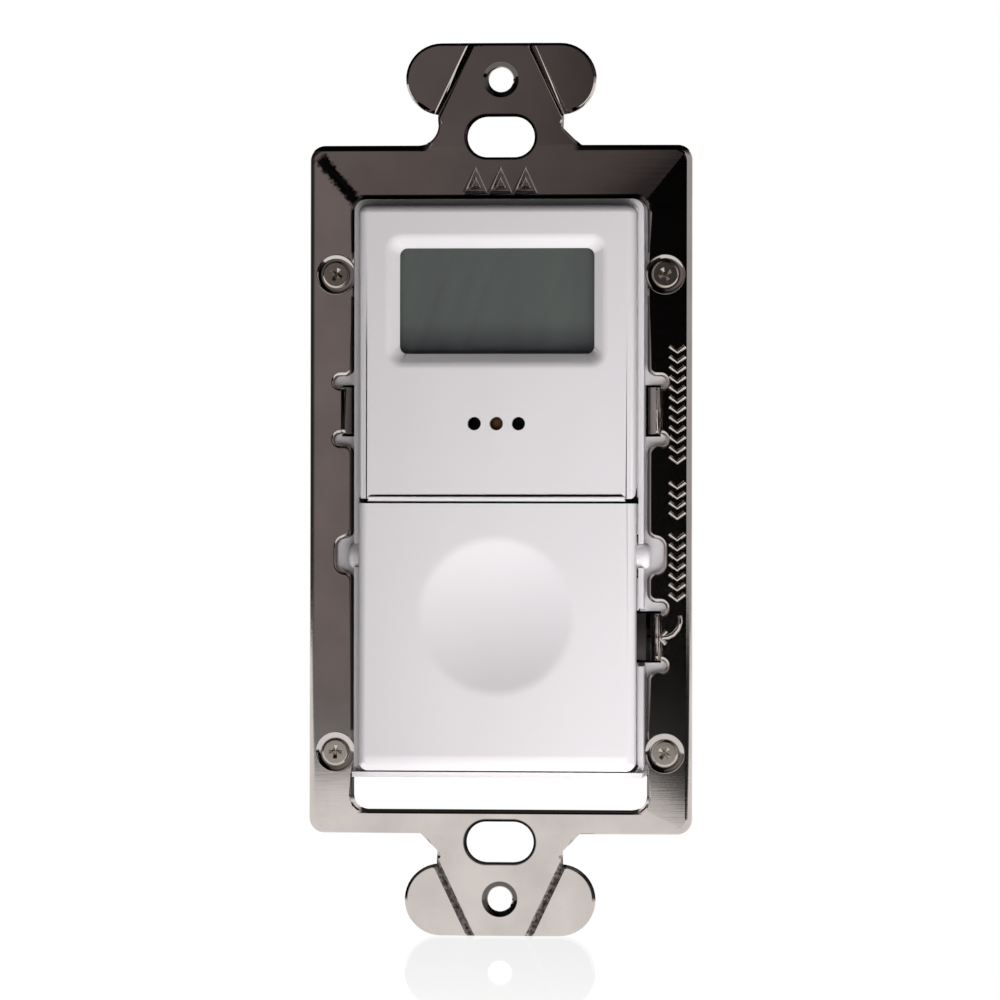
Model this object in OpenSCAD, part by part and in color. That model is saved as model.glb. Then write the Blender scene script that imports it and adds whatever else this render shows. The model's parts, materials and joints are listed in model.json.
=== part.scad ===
// In-wall timer light switch: plated strap, display panel, hinged push door, boards and rear housing.
// X runs right, Y runs back into the wall box and Z runs up; the face looks along -Y.
// The origin is midway between the two wall plate holes, on the rear face of the strap.

/* [Strap] */
// Distance between the two wall plate screw holes
plate_pitch = 96.84; // [95:0.01:99]
// Distance between the two box screw slots
box_pitch = 83.34; // [82:0.01:85]
// Thickness of the strap steel
strap_t = 1.2; // [0.9:0.1:1.5]
// Height of the strap body between its necks
strap_h = 81.4; // [79.5:0.1:82.5]
// Width of each side bar of the strap
bar_w = 5.3; // [4.7:0.1:6.5]
// Rise of the strap face from its outer edge to its window
crown = 0.2; // [0.1:0.05:0.3]
// Corner radius of the strap body
strap_corner_r = 1.8; // [1:0.1:3]
// Width across both plaster ears
ear_w = 22.6; // [20:0.1:27]
// Height of a plaster ear
ear_h = 8.5; // [7.5:0.1:9]
// Width of the neck between ear and strap body
neck_w = 14.9; // [13:0.1:17]
// Length of a box screw slot
slot_w = 8; // [6.5:0.1:9]
// Width of a box screw slot
slot_h = 4.8; // [4.4:0.1:5]
// Diameter of a wall plate screw hole
plate_hole_d = 2.9; // [2.6:0.05:3.4]
// Open gap between the housing and the lower bar of the strap
bottom_gap = 4; // [3.5:0.1:4.2]
// Length of a bent tab along the side bar
tab_len = 5.5; // [4:0.1:6.5]
// Height of the two retaining tabs above the origin
tab_z = 9.3; // [6:0.1:14]
// Depth of the pry tab below the origin
pry_z = 17.4; // [15:0.1:21]
// How far the bent tabs reach behind the strap
tab_reach = 3.4; // [2.5:0.1:4.5]

/* [Strap screws] */
// Height of the upper screw pair above the origin
screw_top = 25.4; // [23:0.1:26]
// Depth of the lower screw pair below the origin
screw_bottom = 31.1; // [30.6:0.1:31.2]
// Diameter of a screw head
screw_head_d = 3.25; // [2.8:0.05:3.6]
// Diameter of a screw shank
screw_d = 1.8; // [1.5:0.1:2]
// Length of a screw under its head
screw_len = 13; // [9:0.5:14]

/* [Face] */
// Width of the display panel and the door
face_w = 32.6; // [32:0.1:35]
// How far the face stands in front of the strap's rear plane
face_proud = 7; // [6.6:0.1:8]
// Height of the panel's upper edge above the origin
face_top = 33.4; // [33:0.1:34]
// Depth of the panel's lower edge below the origin
split_drop = 1.1; // [0.8:0.1:1.6]
// Seam between the panel and the door
seam = 0.55; // [0.45:0.05:0.8]
// Depth of the door's lower edge below the origin
door_drop = 33.05; // [33:0.05:34]
// Thickness of the moulded face shells
shell_t = 1.2; // [1:0.1:1.4]
// Thickness of the moulded side walls
wall_t = 1; // [0.8:0.1:1.2]
// Radius of the soft front edges
edge_r = 1.1; // [0.6:0.05:1.15]
// Diameter of the finger dish in the door
dish_d = 18.1; // [14:0.1:20]
// Depth of the finger dish
dish_depth = 1.1; // [0.6:0.1:1.3]
// Distance from the door's upper edge to the middle of the dish
dish_drop = 13.25; // [12:0.05:15]

/* [Door pivot] */
// Distance from the door's upper edge down to its pivot
pivot_drop = 6.15; // [5.8:0.05:6.6]
// Distance from the face back to the pivot
pivot_back = 5; // [4.8:0.1:5.4]
// Diameter of a pivot pin
pin_d = 3.1; // [2.6:0.05:3.4]

/* [Display] */
// Height of the middle of the display above the origin
disp_z = 22.1; // [21:0.1:22.4]
// Visible width of the display
disp_w = 22.9; // [20:0.1:24]
// Visible height of the display
disp_h = 12.4; // [10:0.1:13]
// Width of the sloped recess round the display
disp_bevel = 1.3; // [0.8:0.1:1.6]
// Height of the row of pinholes above the origin
pinhole_z = 7.7; // [6:0.1:8.5]
// Diameter of a pinhole
pinhole_d = 1.58; // [1.3:0.02:1.8]
// Distance from one pinhole to the next
pinhole_pitch = 2.6; // [2.54:0.02:3]

/* [Keys] */
// Width of a key
key_w = 8; // [6:0.1:9]
// Height of a key
key_h = 3.4; // [2.8:0.1:3.8]
// Distance from one key row to the next
key_pitch = 5; // [4.8:0.1:5.4]
// Distance of each key column from the middle
key_x = 8.5; // [8:0.1:9]
// How far a key stands above the floor that it comes through
key_proud = 1.6; // [1:0.1:2]
// Travel of a key
key_travel = 0.4; // [0.2:0.05:0.5]

/* [Housing] */
// Thickness of the front housing's base
base_t = 2; // [1.6:0.1:2.4]
// Thickness of the rear housing's walls
rear_wall = 1.8; // [1.4:0.1:2]
// Thickness of a circuit board
board_t = 1.6; // [1:0.1:2]
// Space between the two circuit boards
board_gap = 5; // [4.6:0.1:7]
// Height of the relay above its board
relay_h = 12.6; // [12.4:0.1:15]
// Distance of the terminals above and below the origin
terminal_z = 11; // [10:0.1:12]

/* [Hidden] */
$fn = 64;
// Sides of the round corners in hulled shells
hull_fn = 32;
// Overlap that makes cuts and joined shapes pass each other
over = 1;
// Face to face clearances
fit = 0.06;
face_gap = 0.2;
strap_gap = 0.3;
loose = 0.3;

// Face, collar and strap widths follow from the face width
collar_t = 0.6;
collar_in = face_w / 2 + face_gap;
collar_out = collar_in + collar_t;
window_w = 2 * (collar_out + strap_gap);
strap_w = window_w + 2 * bar_w;
housing_inset = 0.7;
housing_w = strap_w - 2 * housing_inset;
housing_r = 2;

// Heights of the face and housing
door_top = -split_drop - seam;
door_low = -door_drop;
panel_low = -split_drop;
collar_top_gap = 0.2;
collar_low_gap = 0.2;
collar_top = face_top + collar_top_gap + collar_t;
collar_low = door_low - collar_low_gap - collar_t;
window_top = collar_top + strap_gap / 2;
collar_ledge = 0.3;
collar_r = 0.8;
housing_top = collar_top + collar_ledge;
housing_low = collar_low;
window_low = housing_low - bottom_gap;
window_fillet = 1.15;
window_r = collar_t + window_fillet;

// Depths from the face to the strap
collar_proud = 3.4;
lip_proud = 5.2;
door_depth = 3.4;
face_y = -face_proud;
collar_y = -collar_proud;
collar_lip_y = -lip_proud;
door_back_y = face_y + door_depth;
strap_front_y = -strap_t;

// Ears, notches and tabs of the strap
ear_rise = 0.1;
ear_z = plate_pitch / 2 + ear_rise;
neck_root = 1;
gusset = 2;
gusset_r = 2.4;
score_w = 0.9;
score_side = score_w / sqrt(2);
score_top_x = 3.45;
score_low_x = 7.5;
rim_d = 4.2;
rim_depth = 0.4;
relief_w = 1.3;
relief_d = 2.2;
bend_r = 0.3;
bend_x = window_w / 2 + bend_r + strap_t;
flare_r = 1.1;
notch_gap = 0.4;
notch_half = pin_d / 2 + notch_gap;
notch_r = 1;
notch_d = 1.9;
pry_turn = 45;
pry_flap = 2.6;
// Side, height, angle of the bend and straight length of each tab
TABS = [
    [-1, tab_z, 90, tab_reach - bend_r], [1, tab_z, 90, tab_reach - bend_r], [1, -pry_z, pry_turn, pry_flap]
];

// Strap screws and the dimples that hold their heads
screw_inset = 2.1;
screw_x = window_w / 2 + screw_inset;
dimple_rim = 0.75;
dimple_d = screw_head_d + 2 * dimple_rim;
dimple_depth = 0.6;
dimple_floor_gap = 0.15;
dimple_floor_d = screw_head_d + 2 * dimple_floor_gap;
screw_seat_y = strap_front_y - crown / 2 + dimple_depth;
screw_head_h = 0.9;
recess_w = 0.5;
recess_depth = 0.5;
// Shares of a pan head: its domed height, its flat crown and its cross recess
dome_share = 0.45;
crown_share = 0.7;
recess_share = 0.6;
SCREWS = [for (side = [-1, 1], z = [screw_top, -screw_bottom]) [side * screw_x, z]];

// Door pivot and the round space that its upper edge swings through
pivot_y = face_y + pivot_back;
pivot_z = door_top - pivot_drop;
pin_r = pin_d / 2;
pin_reach = 0.75;
pin_tip = 0.7;
pin_snap = 0.15;
pin_mouth = pin_r - pin_snap;
arm_wall = 0.75;
arm_r = pin_r + arm_wall;
swing_gap = 0.3;
well_margin = 0.1;
swing_r = norm([pivot_back, pivot_drop]) + swing_gap;
well_top = pivot_z + swing_r + well_margin;
well_low = pivot_z - swing_r - swing_gap - face_gap;
pry_cut = tab_len / 2 + relief_w / 2;

// Finger dish
dish_z = door_top - dish_drop;
dish_r = (pow(dish_d / 2, 2) + pow(dish_depth, 2)) / (2 * dish_depth);
dish_boss_rim = 0.9;
dish_boss_r = dish_d / 2 + dish_boss_rim;
dish_back_y = face_y + dish_depth + shell_t;
door_bevel_z = 1.2;
door_bevel_y = 0.7;

// Display stack, from the panel back to its board
lens_t = 1;
lens_side = 1.75;
lens_edge = 1.6;
lens_y = face_y + shell_t;
cell_y = lens_y + lens_t;
cell_t = 2;
tray_y = cell_y + cell_t;
tray_wall = 0.8;
tray_lip = 1.5;
lens_w = disp_w + 2 * lens_side;
lens_h = disp_h + 2 * lens_edge;
disp_r = 0.9;
bevel_land = 0.2;
lens_r = 1.2;
rim_t = 0.8;
rim_fit = 0.1;
seat_w = lens_w + 2 * rim_fit;
seat_h = lens_h + 2 * rim_fit;
cell_corner_r = 0.3;
cell_ledge = 1.2;
tray_corner_r = 1;
tray_gap = 0.6;
base_bridge = 1.3;
tray_w = lens_w + 2 * tray_wall;
tray_h = lens_h + 2 * tray_lip;
strip_t = 1.2;
strip_z = lens_h / 2 - strip_t;
base_open_w = tray_w + 2 * tray_gap;
base_open_low = well_top + base_bridge;
base_open_top = face_top - wall_t;

// Boards
board_margin = 0.8;
board_y = pivot_y + swing_r + board_margin;
board_back_y = board_y + board_t;
power_y = board_back_y + board_gap;
power_back_y = power_y + board_t;
inner_w = housing_w - 2 * rear_wall;
inner_low = housing_low + rear_wall;
inner_top = housing_top - rear_wall;
inner_r = 1;
board_edge = 0.6;
board_side = 1.6;
board_r = 1;
board_w = inner_w - 2 * board_side;
board_low = inner_low + board_edge;
board_top = inner_top - board_edge;
inner_floor_y = power_back_y + relay_h + board_edge;
rear_y = inner_floor_y + rear_wall;

// Rear end of the housing, drawn in by its draft
side_draft = 1.3;
end_draft = 1;
rear_w = housing_w - 2 * side_draft;
rear_low = housing_low + end_draft;
rear_top = housing_top - end_draft;

// Posts that carry the boards
post_r = 1.8;
post_edge = 0.2;
post_x = board_w / 2 - post_edge - post_r;
post_top_rise = 4.6;
post_low_rise = 5.1;
board_screw_r = 0.8;
board_head_r = 1.6;
board_head_h = 1.2;
board_screw_bite = 1.5;
POST_HEIGHTS = [screw_top + post_top_rise, post_low_rise - screw_bottom];
POSTS = [for (side = [-1, 1], z = POST_HEIGHTS) [side * post_x, z]];

// Keys, their switches and the override switch behind the door
key_fit = 0.2;
key_r = 0.8;
key_flange = 0.6;
key_flange_t = 0.7;
key_leg_r = 1.2;
key_leg_in = 1;
key_switch = 4.4;
key_switch_gap = 0.5;
key_switch_y = base_t + key_flange_t + key_switch_gap + key_travel / 2;
key_row_rise = 0.5;
key_row_z = (well_low + door_low) / 2 + key_row_rise;
key_dish_r = 5;
key_dish_depth = 0.25;
override_size = 6;
dome_r = 2.2;
dome_tip_r = 1.2;
dome_skirt = 0.6;
post_tip_y = 0.3;
door_post_r = 1.3;
door_post_hole_r = 2.5;
door_rib_t = 0.9;

// Parts behind the pinholes
lamp_r = 1.05;
lamp_flange_r = 1.25;
lamp_flange_t = 0.6;
lamp_tip_y = lens_y + loose;
lamp_body = 3.2;
lead_t = 0.5;
reset_w = 2.2;
reset_h = 5;
reset_drop = 2.6;
reset_y = cell_y + reset_drop;
reset_stem_r = 0.5;
reset_stem_out = 1.4;
reset_stem_in = 1.8;
reset_travel = 0.3;

// Parts on the control board
cell_r = 10;
cell_disc_t = 3.2;
cell_step = 0.3;
cell_cap = 1.4;
cell_drop = 7;
cell_z = disp_z - cell_drop;
cell_clip_t = 0.4;
cell_clip_w = 5;
cell_lip = 1.2;
chip_x = 8;
chip_z = 14;
chip_size = 12;
chip_t = 1.6;
chip_stand = 0.1;
chip_pin_w = 0.4;
chip_pin_len = 1.5;
chip_pin_root = 1;
chip_pin_pitch = 1.2;
crystal_x = 6;
crystal_r = 1;
crystal_len = 6;
crystal_lead_r = 0.15;
crystal_lead_len = 2;
crystal_lead_x = 0.4;
header_w = 2.5;
header_len = 12.7;
header_inset = 3;

// Parts on the power board
relay_x = 7.5;
relay_z = 19;
relay_w = 10.4;
relay_len = 18.4;
relay_r = 0.6;
dropper_x = 8;
dropper_z = 18;
dropper_w = 7.5;
dropper_len = 17.5;
dropper_h = 11.6;
dropper_r = 1;
can_x = 7;
can_z = 8;
can_r = 5;
can_h = 11.8;
can_groove_r = 0.35;
can_groove_rise = 1.6;
can_vent_w = 0.3;
can_vent_share = 0.7;
disc_x = 8;
disc_z = 15;
disc_r = 4.5;
disc_t = 3.4;
disc_lift = 1.4;
disc_leg_z = 2.5;
leg_w = 0.8;
fuse_x = 9;
fuse_z = 19;
fuse_r = 1.8;
fuse_len = 10;
fuse_cap_len = 2;
fuse_cap_t = 0.3;
fuse_lift = 0.6;
choke_x = 6.5;
choke_z = 2;
choke_r = 4;
choke_h = 9;
choke_flange = 1.2;
choke_waist = 0.9;
bridge_x = 4;
bridge_z = 26;
bridge_w = 8;
bridge_h = 6;
bridge_t = 3;

// Rear housing bosses, terminals and wire holes
boss_r = 2.6;
boss_floor = 1;
boss_len = screw_len + 2 * boss_floor;
rear_chamfer = 0.8;
pocket_depth = 3.2;
pocket_len = 9;
pocket_h = 9.8;
pocket_back = 2;
pocket_y = power_back_y + pocket_back;
pocket_floor_x = rear_w / 2 - pocket_depth;
pocket_wall = 1.6;
plate_t = 0.9;
clamp_t = 0.8;
tang_w = 4;
tang_reach = 1.2;
plate_inset = 0.6;
clamp_inset = 1;
terminal_head_r = 3.2;
terminal_r = 1.9;
terminal_tip = 0.8;
terminal_slot_w = 0.8;
terminal_slot_share = 0.6;
terminal_y = pocket_y + pocket_len / 2;
wire_r = 1.2;
wire_pitch = 5.8;
TERMINALS = [for (side = [-1, 1], z = [terminal_z, -terminal_z]) [side, z]];

KEY_COLUMNS = [-1, 1];
KEY_ROWS = [-1, 0, 1];

// A shape drawn in X and Z, extruded from depth y0 back to depth y1
module plate_xz(y0, y1) {
    translate([0, y1, 0]) rotate([90, 0, 0]) linear_extrude(y1 - y0) children();
}

// A round bar along Y
module rod_y(r, y0, y1) {
    translate([0, y0, 0]) rotate([-90, 0, 0]) cylinder(r = r, h = y1 - y0);
}

// A cone along Y, r0 at depth y0 and r1 at depth y1
module cone_y(r0, r1, y0, y1) {
    translate([0, y0, 0]) rotate([-90, 0, 0]) cylinder(r1 = r0, r2 = r1, h = y1 - y0);
}

// A round bar along X
module rod_x(r, x0, x1) {
    translate([x0, 0, 0]) rotate([0, 90, 0]) cylinder(r = r, h = x1 - x0);
}

// A block between two opposite corners
module block(low, high) {
    translate(low) cube(high - low);
}

// A rectangle with round corners, centred
module round_rect(w, h, r) {
    square([w - 2 * r, h], center = true);
    square([w, h - 2 * r], center = true);
    for (sx = [-1, 1], sy = [-1, 1]) translate([sx * (w / 2 - r), sy * (h / 2 - r)]) circle(r);
}

// A round-cornered rectangle of width w between two heights
module panel(w, z0, z1, r) {
    translate([0, (z0 + z1) / 2]) round_rect(w, z1 - z0, r);
}

// A slot of length w and width h with round ends
module stadium(w, h) {
    square([w - h, h], center = true);
    for (sx = [-1, 1]) translate([sx * (w - h) / 2, 0]) circle(h / 2);
}

// A moulded block with soft front edges, one soft end, and a square end at the seam
module soft_block(w, soft_z, seam_z, y0, y1, r) {
    inward = sign(seam_z - soft_z);
    hull() {
        for (x = [r - w / 2, w / 2 - r]) {
            translate([x, 0, soft_z + inward * r]) {
                translate([0, y0 + r, 0]) sphere(r, $fn = hull_fn);
                rod_y(r, y1 - r, y1, $fn = hull_fn);
            }
            translate([x, y0 + r, seam_z - inward * fit / 2])
                cylinder(r = r, h = fit, center = true, $fn = hull_fn);
        }
        translate([0, y1 - r / 2, seam_z - inward * fit / 2]) cube([w, r, fit], center = true);
    }
}

// Places children at the door pivot's axis
module at_pivot() {
    translate([0, pivot_y, pivot_z]) children();
}

// Outline of the upper ear and neck
module ear_outline() {
    translate([0, ear_z]) stadium(ear_w, ear_h);
    translate([-neck_w / 2, strap_h / 2 - neck_root]) square([neck_w, ear_z - strap_h / 2 + neck_root]);
}

// Sloped web between neck and strap body, on the right of the upper neck
module neck_gusset() {
    x = neck_w / 2;
    z = strap_h / 2;
    polygon([
        [x - neck_root, z - neck_root], [x + gusset, z - neck_root], [x + gusset, z],
        [x, z + gusset], [x - neck_root, z + gusset]
    ]);
}

// Rounded web between neck and strap body, on the right of the upper neck
module neck_fillet() {
    translate([neck_w / 2, strap_h / 2]) difference() {
        square(gusset_r);
        translate([gusset_r, gusset_r]) circle(gusset_r);
    }
}

// Rounds the strap's corners where a cut of half height h opens into the window, on the right bar
module mouth_flare(h) {
    for (m = [0, 1]) mirror([0, m]) translate([window_w / 2, h]) difference() {
        square(2 * flare_r, center = true);
        translate([flare_r, flare_r]) circle(flare_r);
    }
}

// Outline of the notch beside the pivot pin on the right bar, about the pin
module pivot_notch() {
    translate([window_w / 2, 0]) round_rect(2 * notch_d, 2 * notch_half, notch_r);
    mouth_flare(notch_half);
}

// Outline of one tab's relief cuts on the right bar, about the tab's middle
module tab_relief() {
    inner = window_w / 2 - over;
    for (s = [-1, 1]) translate([0, s * (tab_len + relief_w) / 2]) {
        translate([inner, -relief_w / 2]) square([relief_d + over - relief_w / 2, relief_w]);
        translate([window_w / 2 + relief_d - relief_w / 2, 0]) circle(relief_w / 2);
    }
    translate([inner, -tab_len / 2]) square([bend_x - inner, tab_len]);
    mouth_flare(tab_len / 2 + relief_w);
}

// Outline of the strap body with its window, pivot notches and tab reliefs
module body_outline() {
    difference() {
        round_rect(strap_w, strap_h, strap_corner_r);
        panel(window_w, window_low, window_top, window_r);
        for (m = [0, 1]) mirror([m, 0]) translate([0, pivot_z]) pivot_notch();
        for (tab = TABS) translate([0, tab[1]]) mirror([tab[0] < 0 ? 1 : 0, 0]) tab_relief();
    }
}

// Removes the strap face in front of a slope from inner to outer, towards +X
module slope_cut(inner, outer) {
    depth = strap_t + bar_w;
    tilt = atan(crown / (outer - inner));
    translate([inner, strap_front_y - crown, 0]) rotate([0, 0, tilt])
        translate([0, -depth, -strap_h]) cube([strap_w, depth, 2 * strap_h]);
}

// Strap body with its face sloping gently from the window to the outer edges
module crowned_body() {
    difference() {
        plate_xz(strap_front_y - crown, 0) body_outline();
        for (m = [0, 1]) mirror([m, 0, 0]) slope_cut(window_w / 2, strap_w / 2);
        rotate([0, -90, 0]) slope_cut(window_top, strap_h / 2);
        rotate([0, 90, 0]) slope_cut(-window_low, strap_h / 2);
    }
}

// One tab bent back from the right bar by an angle, with a straight flap, about the tab's middle
module bent_tab(turn, flap) {
    outer_r = bend_r + strap_t;
    end = 2 * outer_r;
    translate([bend_x, bend_r, -tab_len / 2]) linear_extrude(tab_len) {
        intersection() {
            difference() {
                circle(outer_r);
                circle(bend_r);
            }
            polygon([[0, 0], [0, -end], [-end * sin(turn), -end], [-end * sin(turn), -end * cos(turn)]]);
        }
        rotate(-turn) translate([-flap, -outer_r]) square([flap, strap_t]);
    }
}

// Break-off score line across the right half of the upper ear
module score_line() {
    run = [score_low_x - score_top_x, -ear_h];
    translate([score_top_x, strap_front_y, ear_z + ear_h / 2]) rotate([0, -atan2(run[1], run[0]), 0])
        rotate([45, 0, 0]) translate([-over, -score_side / 2, -score_side / 2])
            cube([norm(run) + 2 * over, score_side, score_side]);
}

module mounting_strap() {
    color("#8d8682") difference() {
        union() {
            crowned_body();
            plate_xz(strap_front_y, 0) {
                for (m = [0, 1]) mirror([0, m]) ear_outline();
                neck_gusset();
                mirror([1, 0]) neck_fillet();
                for (m = [0, 1]) mirror([m, 0]) mirror([0, 1]) neck_gusset();
            }
            for (tab = TABS) translate([0, 0, tab[1]]) mirror([tab[0] < 0 ? 1 : 0, 0, 0])
                bent_tab(tab[2], tab[3]);
        }
        for (s = [-1, 1]) {
            translate([0, 0, s * box_pitch / 2]) plate_xz(strap_front_y - over, over) stadium(slot_w, slot_h);
            translate([0, 0, s * plate_pitch / 2]) {
                rod_y(plate_hole_d / 2, strap_front_y - over, over);
                cone_y(rim_d / 2, plate_hole_d / 2, strap_front_y, strap_front_y + rim_depth);
            }
        }
        for (mx = [0, 1], mz = [0, 1]) mirror([mx, 0, 0]) mirror([0, 0, mz]) score_line();
        for (p = SCREWS) translate([p[0], 0, p[1]]) {
            rim_y = screw_seat_y - 2 * dimple_depth;
            cone_y(dimple_d / 2 + dimple_depth, dimple_floor_d / 2, rim_y, screw_seat_y);
            rod_y(screw_d / 2 + face_gap, strap_front_y, over);
        }
    }
}

// A cross-recess pan head screw along Y with its head in front of the seat
module pan_screw(head_r, head_h, shank_r, seat_y, length) {
    dome = head_h * dome_share;
    front_y = seat_y - head_h;
    reach = head_r * recess_share;
    difference() {
        union() {
            cone_y(head_r * crown_share, head_r, front_y, front_y + dome);
            rod_y(head_r, front_y + dome, seat_y);
            rod_y(shank_r, seat_y, seat_y + length);
        }
        for (turn = [0, 90]) rotate([0, turn, 0])
            block([-reach, front_y - over, -recess_w / 2], [reach, front_y + recess_depth, recess_w / 2]);
    }
}

module strap_screws() {
    color("#a9a29c") for (p = SCREWS) translate([p[0], 0, p[1]])
        pan_screw(screw_head_d / 2, screw_head_h, screw_d / 2, screw_seat_y, screw_len);
}

// Places children at each key's centre
module at_keys() {
    for (column = KEY_COLUMNS, row = KEY_ROWS)
        translate([column * key_x, 0, key_row_z + row * key_pitch]) children();
}

module front_housing() {
    color("#e9e6e8") difference() {
        union() {
            plate_xz(0, base_t) panel(housing_w, housing_low, housing_top, housing_r);
            difference() {
                plate_xz(collar_y, over) panel(2 * collar_out, collar_low, collar_top, collar_t + collar_r);
                plate_xz(collar_y - over, 0)
                    panel(2 * collar_in, collar_low + collar_t, collar_top - collar_t, collar_r);
            }
            block([-collar_out, collar_lip_y, collar_low], [collar_out, over, collar_low + collar_t]);
            for (p = POSTS) translate([p[0], 0, p[1]]) rod_y(post_r, base_t - over, board_y);
        }
        plate_xz(-over, base_t + over) {
            panel(base_open_w, base_open_low, base_open_top, tray_corner_r);
            panel(2 * collar_in, well_low, well_top, collar_r);
        }
        at_pivot() {
            rod_x(pin_r + fit, -strap_w, strap_w);
            block([-strap_w, collar_y - pivot_y - over, -pin_mouth], [strap_w, 0, pin_mouth]);
        }
        for (tab = TABS) translate([0, 0, tab[1]]) mirror([tab[0] < 0 ? 1 : 0, 0, 0]) {
            half_len = tab_len / 2 + loose;
            tip_x = bend_x - (bend_r + strap_t) * sin(tab[2]) - tab[3] * cos(tab[2]);
            root_x = bend_x - bend_r * sin(tab[2]);
            block([tip_x - loose, -over, -half_len], [root_x + loose, base_t + over, half_len]);
        }
        block([collar_in - over, collar_y - over, -pry_z - pry_cut], [strap_w, -fit, -pry_z + pry_cut]);
        for (p = SCREWS) translate([p[0], 0, p[1]]) rod_y(screw_d / 2 + face_gap, -over, base_t + over);
        for (p = POSTS) translate([p[0], 0, p[1]]) rod_y(board_screw_r + fit, base_t + over, board_y + over);
        at_keys() plate_xz(-over, base_t + over)
            round_rect(key_w + 2 * key_fit, key_h + 2 * key_fit, key_r + key_fit);
        translate([0, 0, key_row_z]) rod_y(door_post_hole_r, -over, base_t + over);
    }
}

module display_bezel() {
    back_y = 0;
    color("#eceaec") difference() {
        union() {
            difference() {
                soft_block(face_w, face_top, panel_low, face_y, back_y, edge_r);
                block([wall_t - face_w / 2, lens_y, panel_low - over],
                    [face_w / 2 - wall_t, over, face_top - wall_t]);
            }
            translate([0, 0, disp_z]) plate_xz(lens_y - over / 2, cell_y) difference() {
                round_rect(seat_w + 2 * rim_t, seat_h + 2 * rim_t, lens_r + rim_t);
                round_rect(seat_w, seat_h, lens_r);
            }
        }
        at_pivot() rod_x(swing_r, -face_w, face_w);
        translate([0, 0, disp_z]) {
            plate_xz(face_y - over, lens_y + fit) round_rect(disp_w, disp_h, disp_r);
            slope_w = disp_w + 2 * disp_bevel;
            slope_h = disp_h + 2 * disp_bevel;
            slope_end_y = lens_y - bevel_land;
            hull() {
                plate_xz(face_y - fit, face_y)
                    round_rect(slope_w, slope_h, disp_r + disp_bevel / 2, $fn = hull_fn);
                plate_xz(slope_end_y - fit, slope_end_y) round_rect(disp_w, disp_h, disp_r, $fn = hull_fn);
            }
        }
        for (i = [-1, 0, 1]) translate([i * pinhole_pitch, 0, pinhole_z])
            rod_y(pinhole_d / 2, face_y - over, over);
    }
}

module display_lens() {
    color("#c9d2cf", 0.4) translate([0, 0, disp_z])
        plate_xz(lens_y, cell_y) round_rect(lens_w, lens_h, lens_r);
}

module display_cell() {
    color("#565c58") translate([0, 0, disp_z]) {
        plate_xz(cell_y, cell_y + cell_t / 2) round_rect(lens_w, lens_h - 2 * cell_ledge, cell_corner_r);
        plate_xz(cell_y + cell_t / 2, tray_y) round_rect(lens_w, lens_h, cell_corner_r);
    }
}

module display_tray() {
    light_h = disp_h - 2 * wall_t;
    color("#f2f2ee") translate([0, 0, disp_z]) difference() {
        plate_xz(cell_y + cell_t / 2, board_y) round_rect(tray_w, tray_h, tray_corner_r);
        for (p = POSTS) translate([p[0], 0, p[1] - disp_z]) rod_y(post_r + tray_gap, 0, board_y + over);
        plate_xz(cell_y, tray_y) round_rect(seat_w, seat_h, cell_corner_r);
        plate_xz(cell_y, board_y - wall_t) round_rect(disp_w, light_h, disp_r);
        for (s = [-1, 1]) translate([0, 0, s * strip_z]) plate_xz(cell_y, board_y + over)
            square([disp_w + 2 * rim_fit, strip_t + 2 * rim_fit], center = true);
    }
}

module contact_strips() {
    color("#6d6a6e") for (s = [-1, 1]) translate([0, 0, disp_z + s * strip_z])
        plate_xz(tray_y, board_y) square([disp_w, strip_t], center = true);
}

module status_lamp() {
    body_y = lamp_tip_y + lamp_body;
    flange_y = body_y - lamp_flange_t;
    color("#c7862f") translate([0, 0, pinhole_z]) {
        intersection() {
            translate([0, lamp_tip_y + lamp_r, 0]) sphere(lamp_r);
            rod_y(lamp_r, lamp_tip_y, lamp_tip_y + lamp_r);
        }
        rod_y(lamp_r, lamp_tip_y + lamp_r, body_y);
        rod_y(lamp_flange_r, flange_y, body_y);
        for (s = [-1, 1]) translate([0, 0, s * lead_t])
            block([-lead_t / 2, flange_y, -lead_t / 2], [lead_t / 2, board_y, lead_t / 2]);
    }
}

module reset_switches() {
    color("#2c2b2d") for (s = [-1, 1]) translate([s * pinhole_pitch, 0, pinhole_z]) difference() {
        block([-reset_w / 2, reset_y, -reset_h / 2], [reset_w / 2, board_y, reset_h / 2]);
        rod_y(reset_stem_r + fit, reset_y - over, reset_y + reset_stem_in + reset_travel + loose);
    }
}

// Stem of one reset switch, pressed through a pinhole
module reset_stem(side) {
    color("#d8d2c4") translate([side * pinhole_pitch, 0, pinhole_z]) {
        rod_y(reset_stem_r, reset_y - reset_stem_out, reset_y + reset_stem_in);
    }
}

module reset_stem_left() {
    reset_stem(-1);
}

module reset_stem_right() {
    reset_stem(1);
}

// Pivot arm and pin on the right of the door
module door_arm() {
    inner_x = face_w / 2 - wall_t;
    tip_x = collar_out + pin_reach;
    at_pivot() {
        rod_x(arm_r, inner_x, face_w / 2);
        translate([inner_x, 0, 0]) rotate([0, 90, 0]) rotate_extrude() {
            length = tip_x - inner_x;
            square([pin_r, length - pin_tip]);
            square([pin_r - pin_tip, length]);
            translate([pin_r - pin_tip, length - pin_tip]) circle(pin_tip);
        }
    }
    block([inner_x, face_y + shell_t, pivot_z - arm_r], [face_w / 2, pivot_y, pivot_z + arm_r]);
}

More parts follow.
